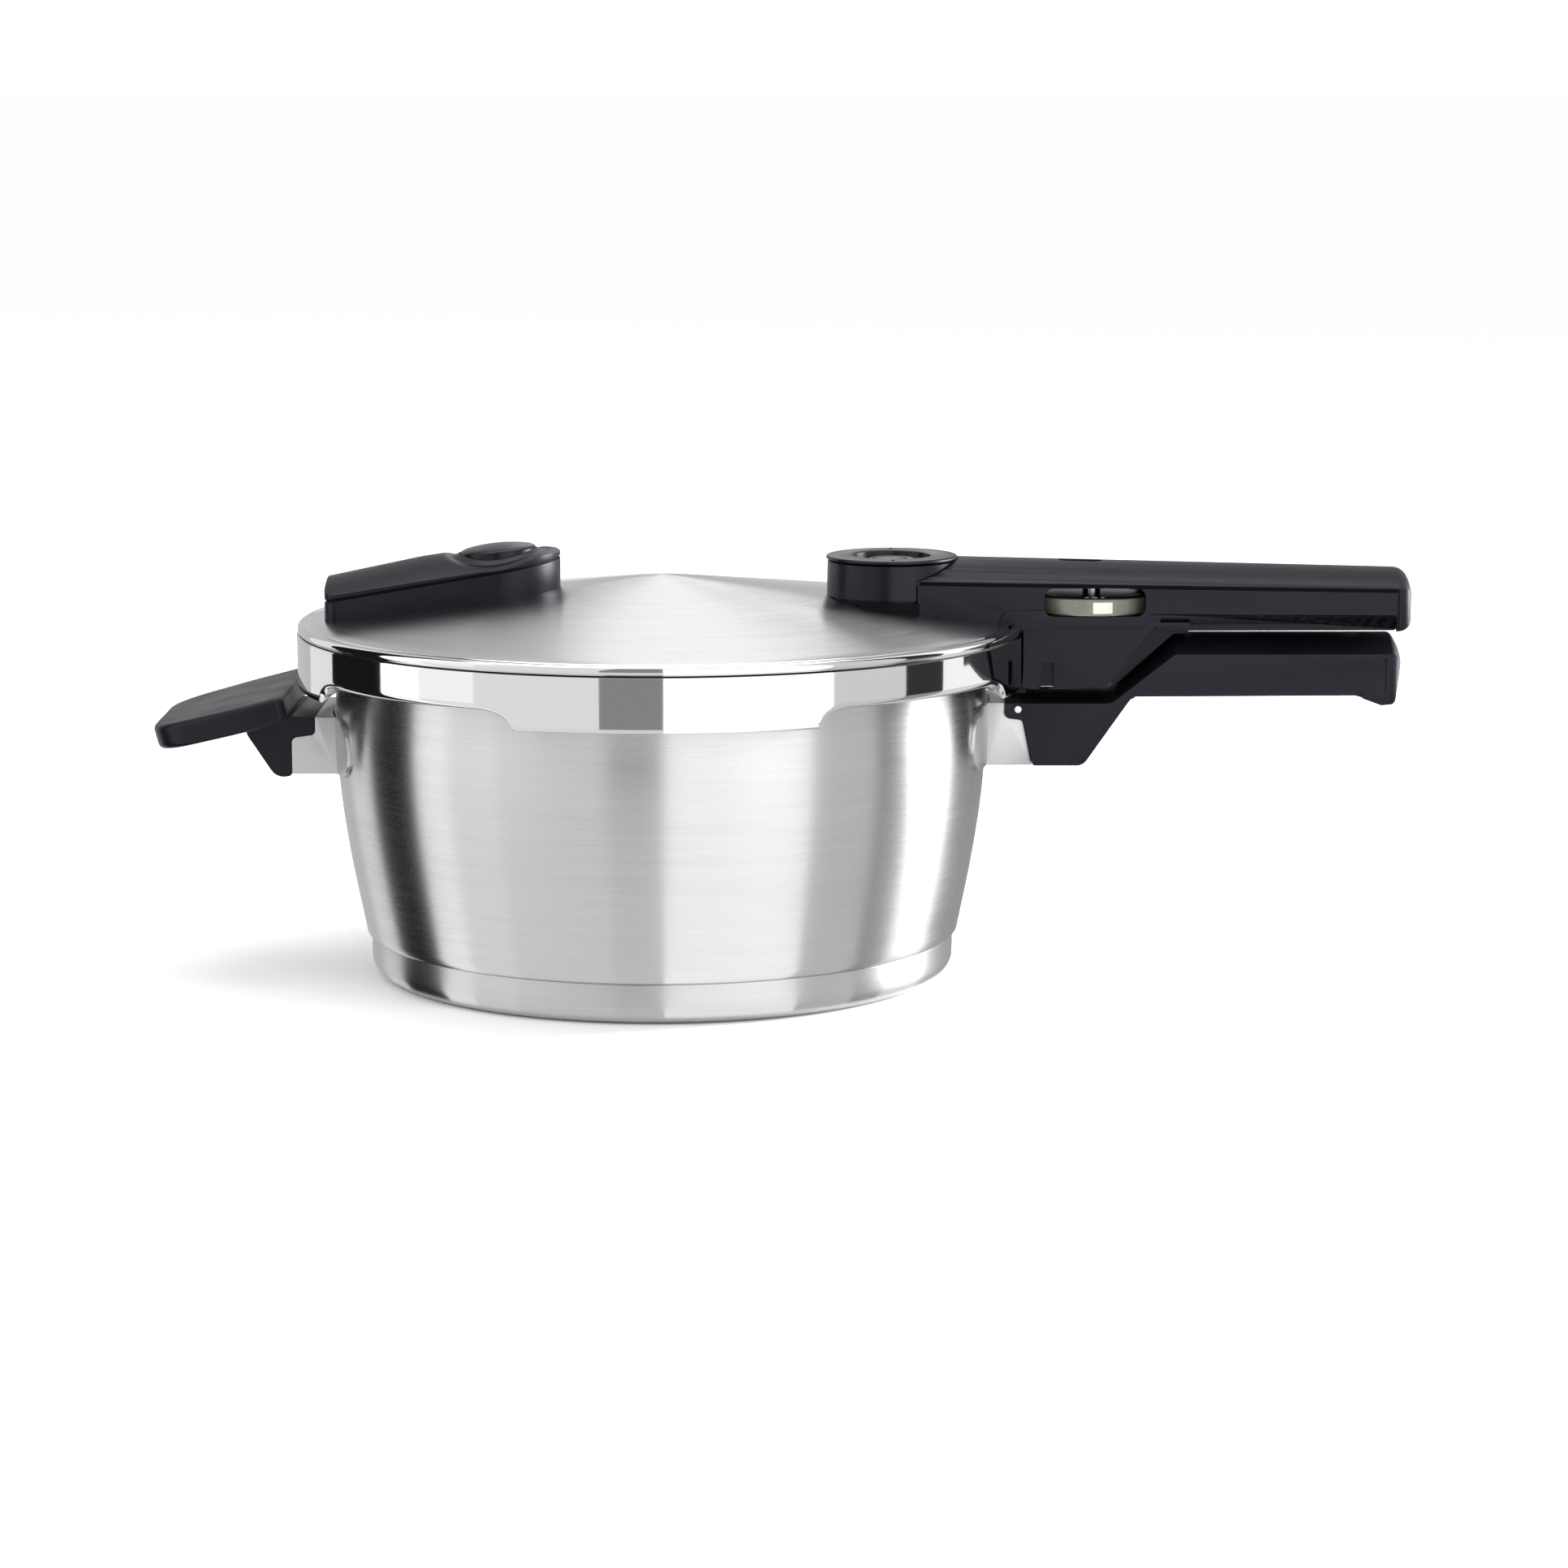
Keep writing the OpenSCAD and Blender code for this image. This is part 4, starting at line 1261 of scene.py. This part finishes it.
@dataclass
class HelperGrip:
    """The grip on the lid: crowned body with a round end and a domed pad in a dish."""

    lid: Lid
    x: float = -54.6
    end_x: float = -111.6
    r: float = 20.8
    rise: float = 9.8
    edge_end: float = 127.3
    pad_r: float = 12.7
    pad_tilt: float = 5.0

    def edge_at(self, x: float) -> float:
        """Height of the edge line between the side and the crowned top."""
        return self.edge_end + (x - self.end_x) * tan(radians(self.rise))

    def ridge_at(self, x: float) -> float:
        """Height of the top along the middle: a steep run, a gentler one, then the end.

        Args:
            x: distance from the pot's axis.

        Returns:
            The height.
        """
        line = ((self.end_x - 5, 131.7), (self.end_x, 133.2), (-80, 139.9), (-72, 141.1), (-60, 142.1),
                (-45, 143.2), (-40, 143.2), (-36, 142.4), (-30, 140.2))
        for (xa, za), (xb, zb) in zip(line, line[1:]):
            if x <= xb:
                return za + (zb - za) * (x - xa) / (xb - xa)
        return line[-1][1]

    def top_at(self, x: float, y: float) -> float:
        """Height of the crowned top, with the shallow dish round the pad.

        Args:
            x: place along the grip.
            y: place across it.

        Returns:
            The height.
        """
        ridge, edge = self.ridge_at(x), self.edge_at(x)
        crowned = edge + (ridge - edge) * (1 - (y / self.r) ** 2)
        off = sqrt((x - self.x) ** 2 + y * y) - self.pad_r - 2.6
        return crowned - 1.1 * 2.718 ** (-(off / 1.9) ** 2)

    def plan(self, inset: float) -> Outline:
        """Plan outline: a half circle at the inner end and a squared outer end.

        Args:
            inset: how far the outline lies inside the body's.

        Returns:
            The outline, with X and Y.
        """
        side = self.r - 0.8 - inset
        end = self.end_x + inset
        back = fillet([(self.x - 4, side, 0), (end, side - 1.0, 4.5), (end, 1.0 - side, 4.5),
                       (self.x - 4, -side, 0)])
        return back + arc(self.x, 0, self.r - inset, -88, 88, 40)

    def slanted(self, inset: float, half: float) -> bmesh.types.BMesh:
        """A thin slab of the plan that lies just under the edge line.

        Args:
            inset: how far it lies inside the body's outline.
            half: half of its thickness.

        Returns:
            The closed shape.
        """
        bm = extruded(self.plan(inset), -half, half, Plane.PLAN)
        for vert in bm.verts:
            vert.co.z += self.edge_at(vert.co.x) - 0.7
        return bm

    def build(self) -> None:
        """Shapes the body on the lid, engraves its lines and seats the pad."""
        piece = as_object(extruded(self.plan(0), 105, 160, Plane.PLAN), "helper_grip_body")
        spans = (self.end_x - 4, -30, -23, 23)
        carve(piece, relief_block(spans, (110, 60), self.top_at, 100), Cut.WITHIN)
        carve(piece, self.lid.under())
        ring = as_object(self.slanted(-3, 0.5), "ring")
        carve(ring, self.slanted(0.9, 9))
        carve(piece, as_shape(ring))
        for side in (-1, 1):
            near, far = sorted((side * (self.r - 2.6), side * (self.r + 2)))
            carve(piece, block((self.end_x + 3.4, near, 100), (self.end_x + 3.9, far, 127.2)))
        # Near-black strip under the edge line: painted shade in the groove
        seam = as_object(self.slanted(0.45, 0.48), "helper_grip_seam_shade")
        carve(seam, self.slanted(0.9, 9))
        dress(seam, DULL_PLASTIC_AND_SEAM_SHADE, "lid", ())
        finger = fillet([(-103, 100, 0), (-73, 100, 0), (-78, 121.9, 3), (-96, 120.8, 3)])
        carve(piece, extruded(finger, -40, 40, Plane.SIDE))
        seat = (self.x, 0, 142.2)
        well = turned(rod(-3, 8, self.pad_r + 0.25, 96), -self.pad_tilt, "Y", (0, 0, 0))
        carve(piece, moved(well, *seat))
        round_edges(piece, 0.45, 3, 40)
        dress(piece, PHENOLIC, "lid", ("helper_grip",))
        r = self.pad_r
        dome = [(0, -3.2), (r, -3.2)] + arc(r - 1.2, -0.5, 1.2, 0, 65, 6)
        dome += [(r * k / 8, 2.15 - 1.55 * (k / 8) ** 2) for k in range(7, -1, -1)]
        pad = moved(turned(spun(dome, 96), -self.pad_tilt, "Y", (0, 0, 0)), *seat)
        cap = as_object(pad, "helper_grip_dome")
        dress(cap, SMOOTH_PHENOLIC, "lid", ("helper_grip_pad",))


# ---------------------------------------------------------------- valve head


@dataclass
class ValveHead:
    """The valve head: housing on the lid, turning crown and rising indicator."""

    lid: Lid
    x: float = 77.3
    r: float = 22.0
    split: float = 138.9
    top: float = 140.5
    well_r: float = 14.3

    def build(self) -> None:
        """Makes the housing, its foot, the crown and the indicator's button."""
        body = [(3.6, 112), (3.6, 126), (8.4, 126), (8.4, 135.6), (self.well_r, 135.6)]
        body += [(self.well_r, self.split), (self.r - 0.9, self.split), (self.r - 0.5, self.split - 0.3)]
        body += [(self.r - 0.25, 127.2), (self.r - 0.9, 126.9), (self.r - 0.9, 112)]
        piece = as_object(spun(body, 144, at=(self.x, 0)), "valve_housing_body")
        carve(piece, self.lid.under())
        neck = spun([(3.6, 114), (6, 114), (6, 127), (3.6, 127)], 64, at=(self.x, 0))
        carve(piece, neck, Cut.ONTO)
        dress(piece, SMOOTH_PHENOLIC, "lid", ("valve_housing",))
        self.foot()
        self.crown()
        self.button()

    def foot(self) -> None:
        """The dull foot ring under the housing, with its small snap gaps."""
        ring = fillet([(self.r - 0.8, 112, 0), (self.r + 0.8, 112, 0), (self.r + 0.6, 126.5, 0.5),
                       (self.r - 0.8, 126.5, 0)])
        piece = as_object(spun(ring, 144, 60, 240, (self.x, 0)), "valve_foot")
        carve(piece, self.lid.under())
        for bearing in (-160, -149, -128, -121):
            gap = block((self.r - 2, -0.35, 100), (self.r + 3, 0.35, 126.0))
            carve(piece, moved(turned(gap, bearing, "Z", (0, 0, 0)), self.x))
        dress(piece, DULL_PLASTIC_AND_SEAM_SHADE, "lid", ())

    def crown(self) -> None:
        """The turning crown: a thin disc with a deep round recess."""
        low = self.split + 0.35
        hub = self.well_r - 0.3
        ring = [(8.5, 136.0), (hub, 136.0), (hub, low), (self.r - 0.5, low), (self.r, low + 0.3)]
        ring += arc(self.r - 0.7, self.top - 0.7, 0.7, 0, 90, 5)
        ring += [(13.6, self.top - 0.05), (13.1, self.top - 0.3), (12.8, 138.4), (12.5, 138.2)]
        ring += [(9.2, 138.2), (8.5, 138.0)]
        piece = as_object(spun(ring, 160, at=(self.x, 0)), "valve_crown_drum")
        for side in (0, 180):
            pip = fillet([(16.2, -0.5, 0.45), (19.4, -0.5, 0.45), (19.4, 0.5, 0.45), (16.2, 0.5, 0.45)])
            mark = extruded(pip, self.top - 0.3, self.top + 2, Plane.PLAN)
            mark = turned(mark, side - 90, "Z", (0, 0, 0))
            carve(piece, moved(mark, self.x))
        dress(piece, SMOOTH_PHENOLIC, "crown", ("valve_crown",), 30)

    def button(self) -> None:
        """The indicator: a domed button with a ring step on a stem."""
        line = [(0, 112), (2.9, 112), (3.5, 112.6), (3.5, 135.6), (7.4, 135.6), (8.0, 136.1)]
        line += [(8.0, 138.5)] + arc(7.2, 138.5, 0.8, 0, 80, 5)
        line += [(6.4, 139.2), (5.9, 138.95), (5.6, 139.2)]
        line += [(4.0, 139.45), (2.0, 139.58), (0, 139.6)]
        piece = as_object(spun(line, 96, at=(self.x, 0)), "indicator_button")
        dress(piece, SMOOTH_PHENOLIC, "indicator", ("indicator_pin",))


# ---------------------------------------------------------------- selector and springs


@dataclass
class Selector:
    """The selector dial: grey band with a light inlay that paints its highlight, black top with plain
    marks.
    """

    x: float = 144.3
    r: float = 20.9
    low: float = 122.1
    high: float = 127.6
    inlay_mid: float = -83.0
    inlay_half: float = 9.5

    def build(self) -> None:
        """Makes the band, the light inlay that paints the band's highlight, the top disc and its printed
        marks.
        """
        band = fillet([(self.r - 2, self.low, 0), (self.r - 0.1, self.low, 0.5),
                       (self.r, self.low + 2.75, 0), (self.r - 0.1, self.high, 0.5),
                       (self.r - 2, self.high, 0)])
        piece = as_object(spun(band, 160, at=(self.x, 0)), "selector_band")
        pocket = spun([(self.r - 0.7, self.low + 0.8), (self.r + 3, self.low + 0.8),
                       (self.r + 3, self.high - 0.8), (self.r - 0.7, self.high - 0.8)], 16,
                      self.inlay_mid - self.inlay_half, 2 * self.inlay_half, (self.x, 0))
        carve(piece, pocket)
        round_edges(piece, 0.15, 2)
        dress(piece, BAND_GREY, "selector", ("selector_ring",))
        # The light inlay paints the band's bright highlight
        inlay = spun([(self.r - 0.7, self.low + 0.85), (self.r + 0.06, self.low + 0.85),
                      (self.r + 0.06, self.high - 0.85), (self.r - 0.7, self.high - 0.85)], 16,
                     self.inlay_mid - self.inlay_half + 0.3, 2 * self.inlay_half - 0.6, (self.x, 0))
        marker = as_object(inlay, "selector_highlight_inlay")
        round_edges(marker, 0.12, 2)
        dress(marker, BAND_HIGHLIGHT_INLAY, "selector", ("selector_marker",))
        top = fillet([(3.1, self.low, 0), (self.r - 2.05, self.low, 0),
                      (self.r - 2.05, self.high + 0.3, 0.4), (3.1, self.high + 0.3, 0)])
        disc = as_object(spun(top, 128, at=(self.x, 0)), "selector_top_disc")
        dress(disc, SMOOTH_PHENOLIC, "selector", ("selector_disc",))
        self.marks()

    def marks(self) -> None:
        """Plain printed dots and rings, one group for each setting."""
        ink = bmesh.new()
        print_z = self.high + 0.3
        for group in range(6):
            for k, (size, hole) in enumerate(((0.75, 0.0), (1.0, 0.6), (0.7, 0.35))):
                around = -90 + 60 * group + (k - 1) * 9
                spot = Vector((self.r - 4.2, 0, 0))
                spot.rotate(Matrix.Rotation(radians(around), 3, "Z"))
                line = [(hole, print_z), (size, print_z), (size, print_z + 0.06), (hole, print_z + 0.06)]
                dot = spun(line, 24, at=(spot.x + self.x, spot.y))
                mesh = bpy.data.meshes.new("mark")
                dot.to_mesh(mesh)
                ink.from_mesh(mesh)
                dot.free()
        dress(as_object(ink, "selector_marks"), WHITE_INK, "selector", ())


@dataclass
class Coil:
    """A wound compression spring on a vertical axis."""

    name: str
    node: str
    x: float
    radius: float
    wire: float
    low: float
    high: float
    turns: float

    def build(self) -> None:
        """Spins the wire's section up a helix."""
        bm = bmesh.new()
        ring = bmesh.ops.create_circle(bm, cap_ends=False, radius=self.wire / 2, segments=10)["verts"]
        bmesh.ops.rotate(bm, verts=ring, cent=(0, 0, 0), matrix=Matrix.Rotation(pi / 2, 3, "X"))
        bmesh.ops.translate(bm, verts=ring, vec=(self.radius, 0, self.low + self.wire / 2))
        steps = int(self.turns * 28)
        rise = (self.high - self.low - self.wire) / steps
        bmesh.ops.spin(bm, geom=bm.verts[:] + bm.edges[:], cent=(0, 0, 0), axis=(0, 0, 1),
                       dvec=(0, 0, rise), angle=2 * pi * self.turns, steps=steps, use_merge=False)
        bmesh.ops.holes_fill(bm, edges=[e for e in bm.edges if e.is_boundary], sides=0)
        bmesh.ops.recalc_face_normals(bm, faces=bm.faces)
        piece = as_object(moved(bm, self.x), self.name)
        dress(piece, TURNED_STEEL, "lid", (self.node,), 60)


@dataclass
class CarriedNodes:
    """Design nodes whose own shape is right, and the finish that each gets."""

    def build(self) -> None:
        """Gives each carried node its material."""
        finishes = {
            TURNED_STEEL: ("pot_handle_screw", "side_grip_screw", "handle_screws", "handle_fixing_screw",
                           "valve_nut", "helper_grip_screw", "vent_body", "vent_pin", "dial_pin",
                           "lock_bolt"),
            SILICONE: ("gasket", "valve_seal", "vent_seal"),
            CORE_ALUMINIUM: ("base_core",),
            RING_ORANGE: ("indicator_rings",),
            FLAG_GREEN: ("indicator_flag",),
            DULL_PLASTIC_AND_SEAM_SHADE: ("mechanism_plate",),
        }
        for finish, names in finishes.items():
            for name in names:
                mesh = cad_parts[name].data
                mesh.materials.clear()
                mesh.materials.append(finish.material())
                LOG.info("%s keeps its own shape", name)


# ---------------------------------------------------------------- studio


@dataclass
class Card:
    """A studio card seen only in reflections, placed to show between two bearings on the wall."""

    name: str
    start: float
    end: float
    tone: float
    upright_tone: float
    top: float = 1.1
    wall_r: float = 0.097
    radius: float = 0.66
    eye: tuple[float, float] = EYE[:2]

    def reach(self, bearing: float) -> tuple[Vector, Vector]:
        """Finds where a reflected line of sight leaves the wall and where it meets the card's circle.

        Args:
            bearing: place on the wall in degrees, from the front towards +X.

        Returns:
            The point at the wall's foot and the point on the circle.
        """
        normal = Vector((sin(radians(bearing)), -cos(radians(bearing))))
        foot = normal * self.wall_r
        sight = (foot - Vector(self.eye)).normalized()
        away = sight - normal * (2 * sight.dot(normal))
        along = foot.dot(away)
        far = sqrt(along ** 2 + self.radius ** 2 - self.wall_r ** 2) - along
        return foot, foot + away * far

    def build(self) -> None:
        """Lays the card from the wall's foot to its circle and up; each part has an even tone."""
        steps = 16
        for part, tone in enumerate((self.tone, self.upright_tone)):
            bm = bmesh.new()
            rows = []
            for k in range(steps + 1):
                foot, rim = self.reach(self.start + (self.end - self.start) * k / steps)
                low = (rim.x, rim.y, 0.0006)
                other = (rim.x, rim.y, self.top) if part else (foot.x, foot.y, 0.0006)
                rows.append((bm.verts.new(low), bm.verts.new(other)))
            for one, two in zip(rows, rows[1:]):
                bm.faces.new((one[0], one[1], two[1], two[0]))
            glow_panel(f"{self.name}_{part}", bm, tone)


def glow_panel(name: str, bm: bmesh.types.BMesh, tone: float) -> None:
    """Stages a shape in metres as an evenly lit panel that shows in glossy reflections only.

    Args:
        name: the panel's name.
        bm: the shape; it is used up.
        tone: brightness, with 1 as white paper.
    """
    mesh = bpy.data.meshes.new(name)
    bm.to_mesh(mesh)
    bm.free()
    card = bpy.data.objects.new(name, mesh)
    bpy.context.scene.collection.objects.link(card)
    look = bpy.data.materials.new(name)
    look.use_nodes = True
    look.node_tree.nodes.clear()
    glow = add(look.node_tree, "ShaderNodeEmission", {"Strength": tone})
    add(look.node_tree, "ShaderNodeOutputMaterial", links={"Surface": glow.outputs[0]})
    mesh.materials.append(look)
    for ray in ("camera", "diffuse", "shadow", "transmission", "volume_scatter"):
        setattr(card, "visible_" + ray, False)


@dataclass
class Studio:
    """Camera, pale floor, soft lights and reflection cards."""

    camera_at: tuple[float, float, float] = EYE
    pitch: float = 9.264
    lens: float = 103.25

    def build(self) -> None:
        """Sets up the whole studio."""
        self.camera()
        self.floor()
        self.lights()
        cards = (
            Card("card_left_back", -88, -68, 0.6, 0.6),
            Card("card_left_rim", -68, -58.5, 0.95, 0.95),
            Card("card_left_dark", -58.5, -45, 0.012, 0.01),
            Card("card_left_bright", -45, -37, 1.3, 1.6),
            Card("card_left_fade", -37, -27, 1.0, 1.2),
            Card("card_left_grey", -27, -7.5, 0.9, 0.95),
            Card("card_middle_grey", -7.5, 1.8, 0.84, 0.3),
            Card("card_right_bright", 1.8, 27.5, 1.42, 1.6),
            Card("card_right_grey", 27.5, 40.5, 0.72, 0.8),
            Card("card_right_dark", 40.5, 48.5, 0.36, 0.04),
            Card("card_right_edge", 48.5, 62, 0.86, 1.2),
            Card("card_right_back", 62, 88, 0.34, 0.45),
        )
        for card in cards:
            card.build()
        self.panel("back_low", 0.66, (-0.47, 0.47), (0.0, 0.27), 0.5)
        self.panel("back_left", 0.9, (-1.3, -0.2), (0.3, 1.3), 0.42)
        self.panel("back_high", 0.9, (-0.2, 0.2), (0.3, 1.3), 1.3)
        self.panel("back_right", 0.9, (0.2, 1.3), (0.3, 1.3), 0.62)

    def panel(self, name: str, y: float, spread: Span, rise: Span, tone: float) -> None:
        """An upright panel behind the object, for the lid and the handles' tops.

        Args:
            name: the panel's name.
            y: how far behind the pot's axis it stands.
            spread: its ends in X.
            rise: its lower and upper edge.
            tone: brightness, with 1 as white paper.
        """
        bm = bmesh.new()
        corners = [(spread[0], y, rise[0]), (spread[1], y, rise[0]), (spread[1], y, rise[1]),
                   (spread[0], y, rise[1])]
        bm.faces.new([bm.verts.new(at) for at in corners])
        glow_panel(name, bm, tone)

    def camera(self) -> None:
        """A long lens, a little above the lid."""
        data = bpy.data.cameras.new("studio_camera")
        data.lens = self.lens
        data.sensor_width = 36.0
        data.clip_end = 50
        made = bpy.data.objects.new("studio_camera", data)
        made.location = self.camera_at
        made.rotation_euler = (radians(90 - self.pitch), 0, 0)
        bpy.context.scene.collection.objects.link(made)
        bpy.context.scene.camera = made

    def floor(self) -> None:
        """A wide, plain, near-white floor."""
        bm = bmesh.new()
        bmesh.ops.create_grid(bm, x_segments=4, y_segments=4, size=30.0)
        mesh = bpy.data.meshes.new("floor")
        bm.to_mesh(mesh)
        bm.free()
        floor = bpy.data.objects.new("floor", mesh)
        bpy.context.scene.collection.objects.link(floor)
        look = Finish("floor_paper", "#fdfdfd").material()
        look.node_tree.nodes["Principled BSDF"].inputs["Roughness"].default_value = 0.9
        look.node_tree.nodes["Principled BSDF"].inputs["Specular IOR Level"].default_value = 0.1
        mesh.materials.append(look)

    def lights(self) -> None:
        """An even white surround and three soft boxes."""
        world = bpy.data.worlds.new("surround")
        world.use_nodes = True
        world.node_tree.nodes["Background"].inputs["Color"].default_value = (1, 1, 1, 1)
        world.node_tree.nodes["Background"].inputs["Strength"].default_value = 1.0
        bpy.context.scene.world = world
        bpy.context.scene.view_settings.view_transform = "Standard"
        boxes = (
            ("top_box", (0.0, 0.15, 1.5), (1.4, 0.9), 9.0),
            ("left_box", (-1.3, -0.9, 0.9), (0.8, 1.0), 5.0),
            ("right_box", (1.1, -1.3, 0.8), (0.7, 1.0), 5.0),
            ("rim_box", (1.2, 0.35, 0.3), (0.3, 0.6), 40.0),
        )
        for name, place, size, watts in boxes:
            data = bpy.data.lights.new(name, "AREA")
            data.shape = "RECTANGLE"
            data.size, data.size_y = size
            data.energy = watts
            light = bpy.data.objects.new(name, data)
            light.location = place
            aim = Vector((0.03, 0, 0.08)) - Vector(place)
            light.rotation_euler = aim.to_track_quat("-Z", "Y").to_euler()
            bpy.context.scene.collection.objects.link(light)


def main() -> None:
    """Builds the studio and every sub-assembly, in order."""
    logging.basicConfig(level=logging.INFO, format="%(name)s: %(message)s")
    pot = Pot()
    lid = Lid()
    parts = (
        Studio(), pot, lid, LidHandle(lid), PotHandle(pot), SideGrip(pot), HelperGrip(lid), ValveHead(lid),
        Selector(), Coil("valve_coil", "valve_spring", 77.3, 5.9, 1.2, 126.1, 135.4, 4.5),
        Coil("lock_coil", "lock_spring", 128.7, 2.75, 0.8, 108, 117.8, 6), CarriedNodes(),
    )
    for part in parts:
        part.build()


if __name__ == "__main__":
    main()
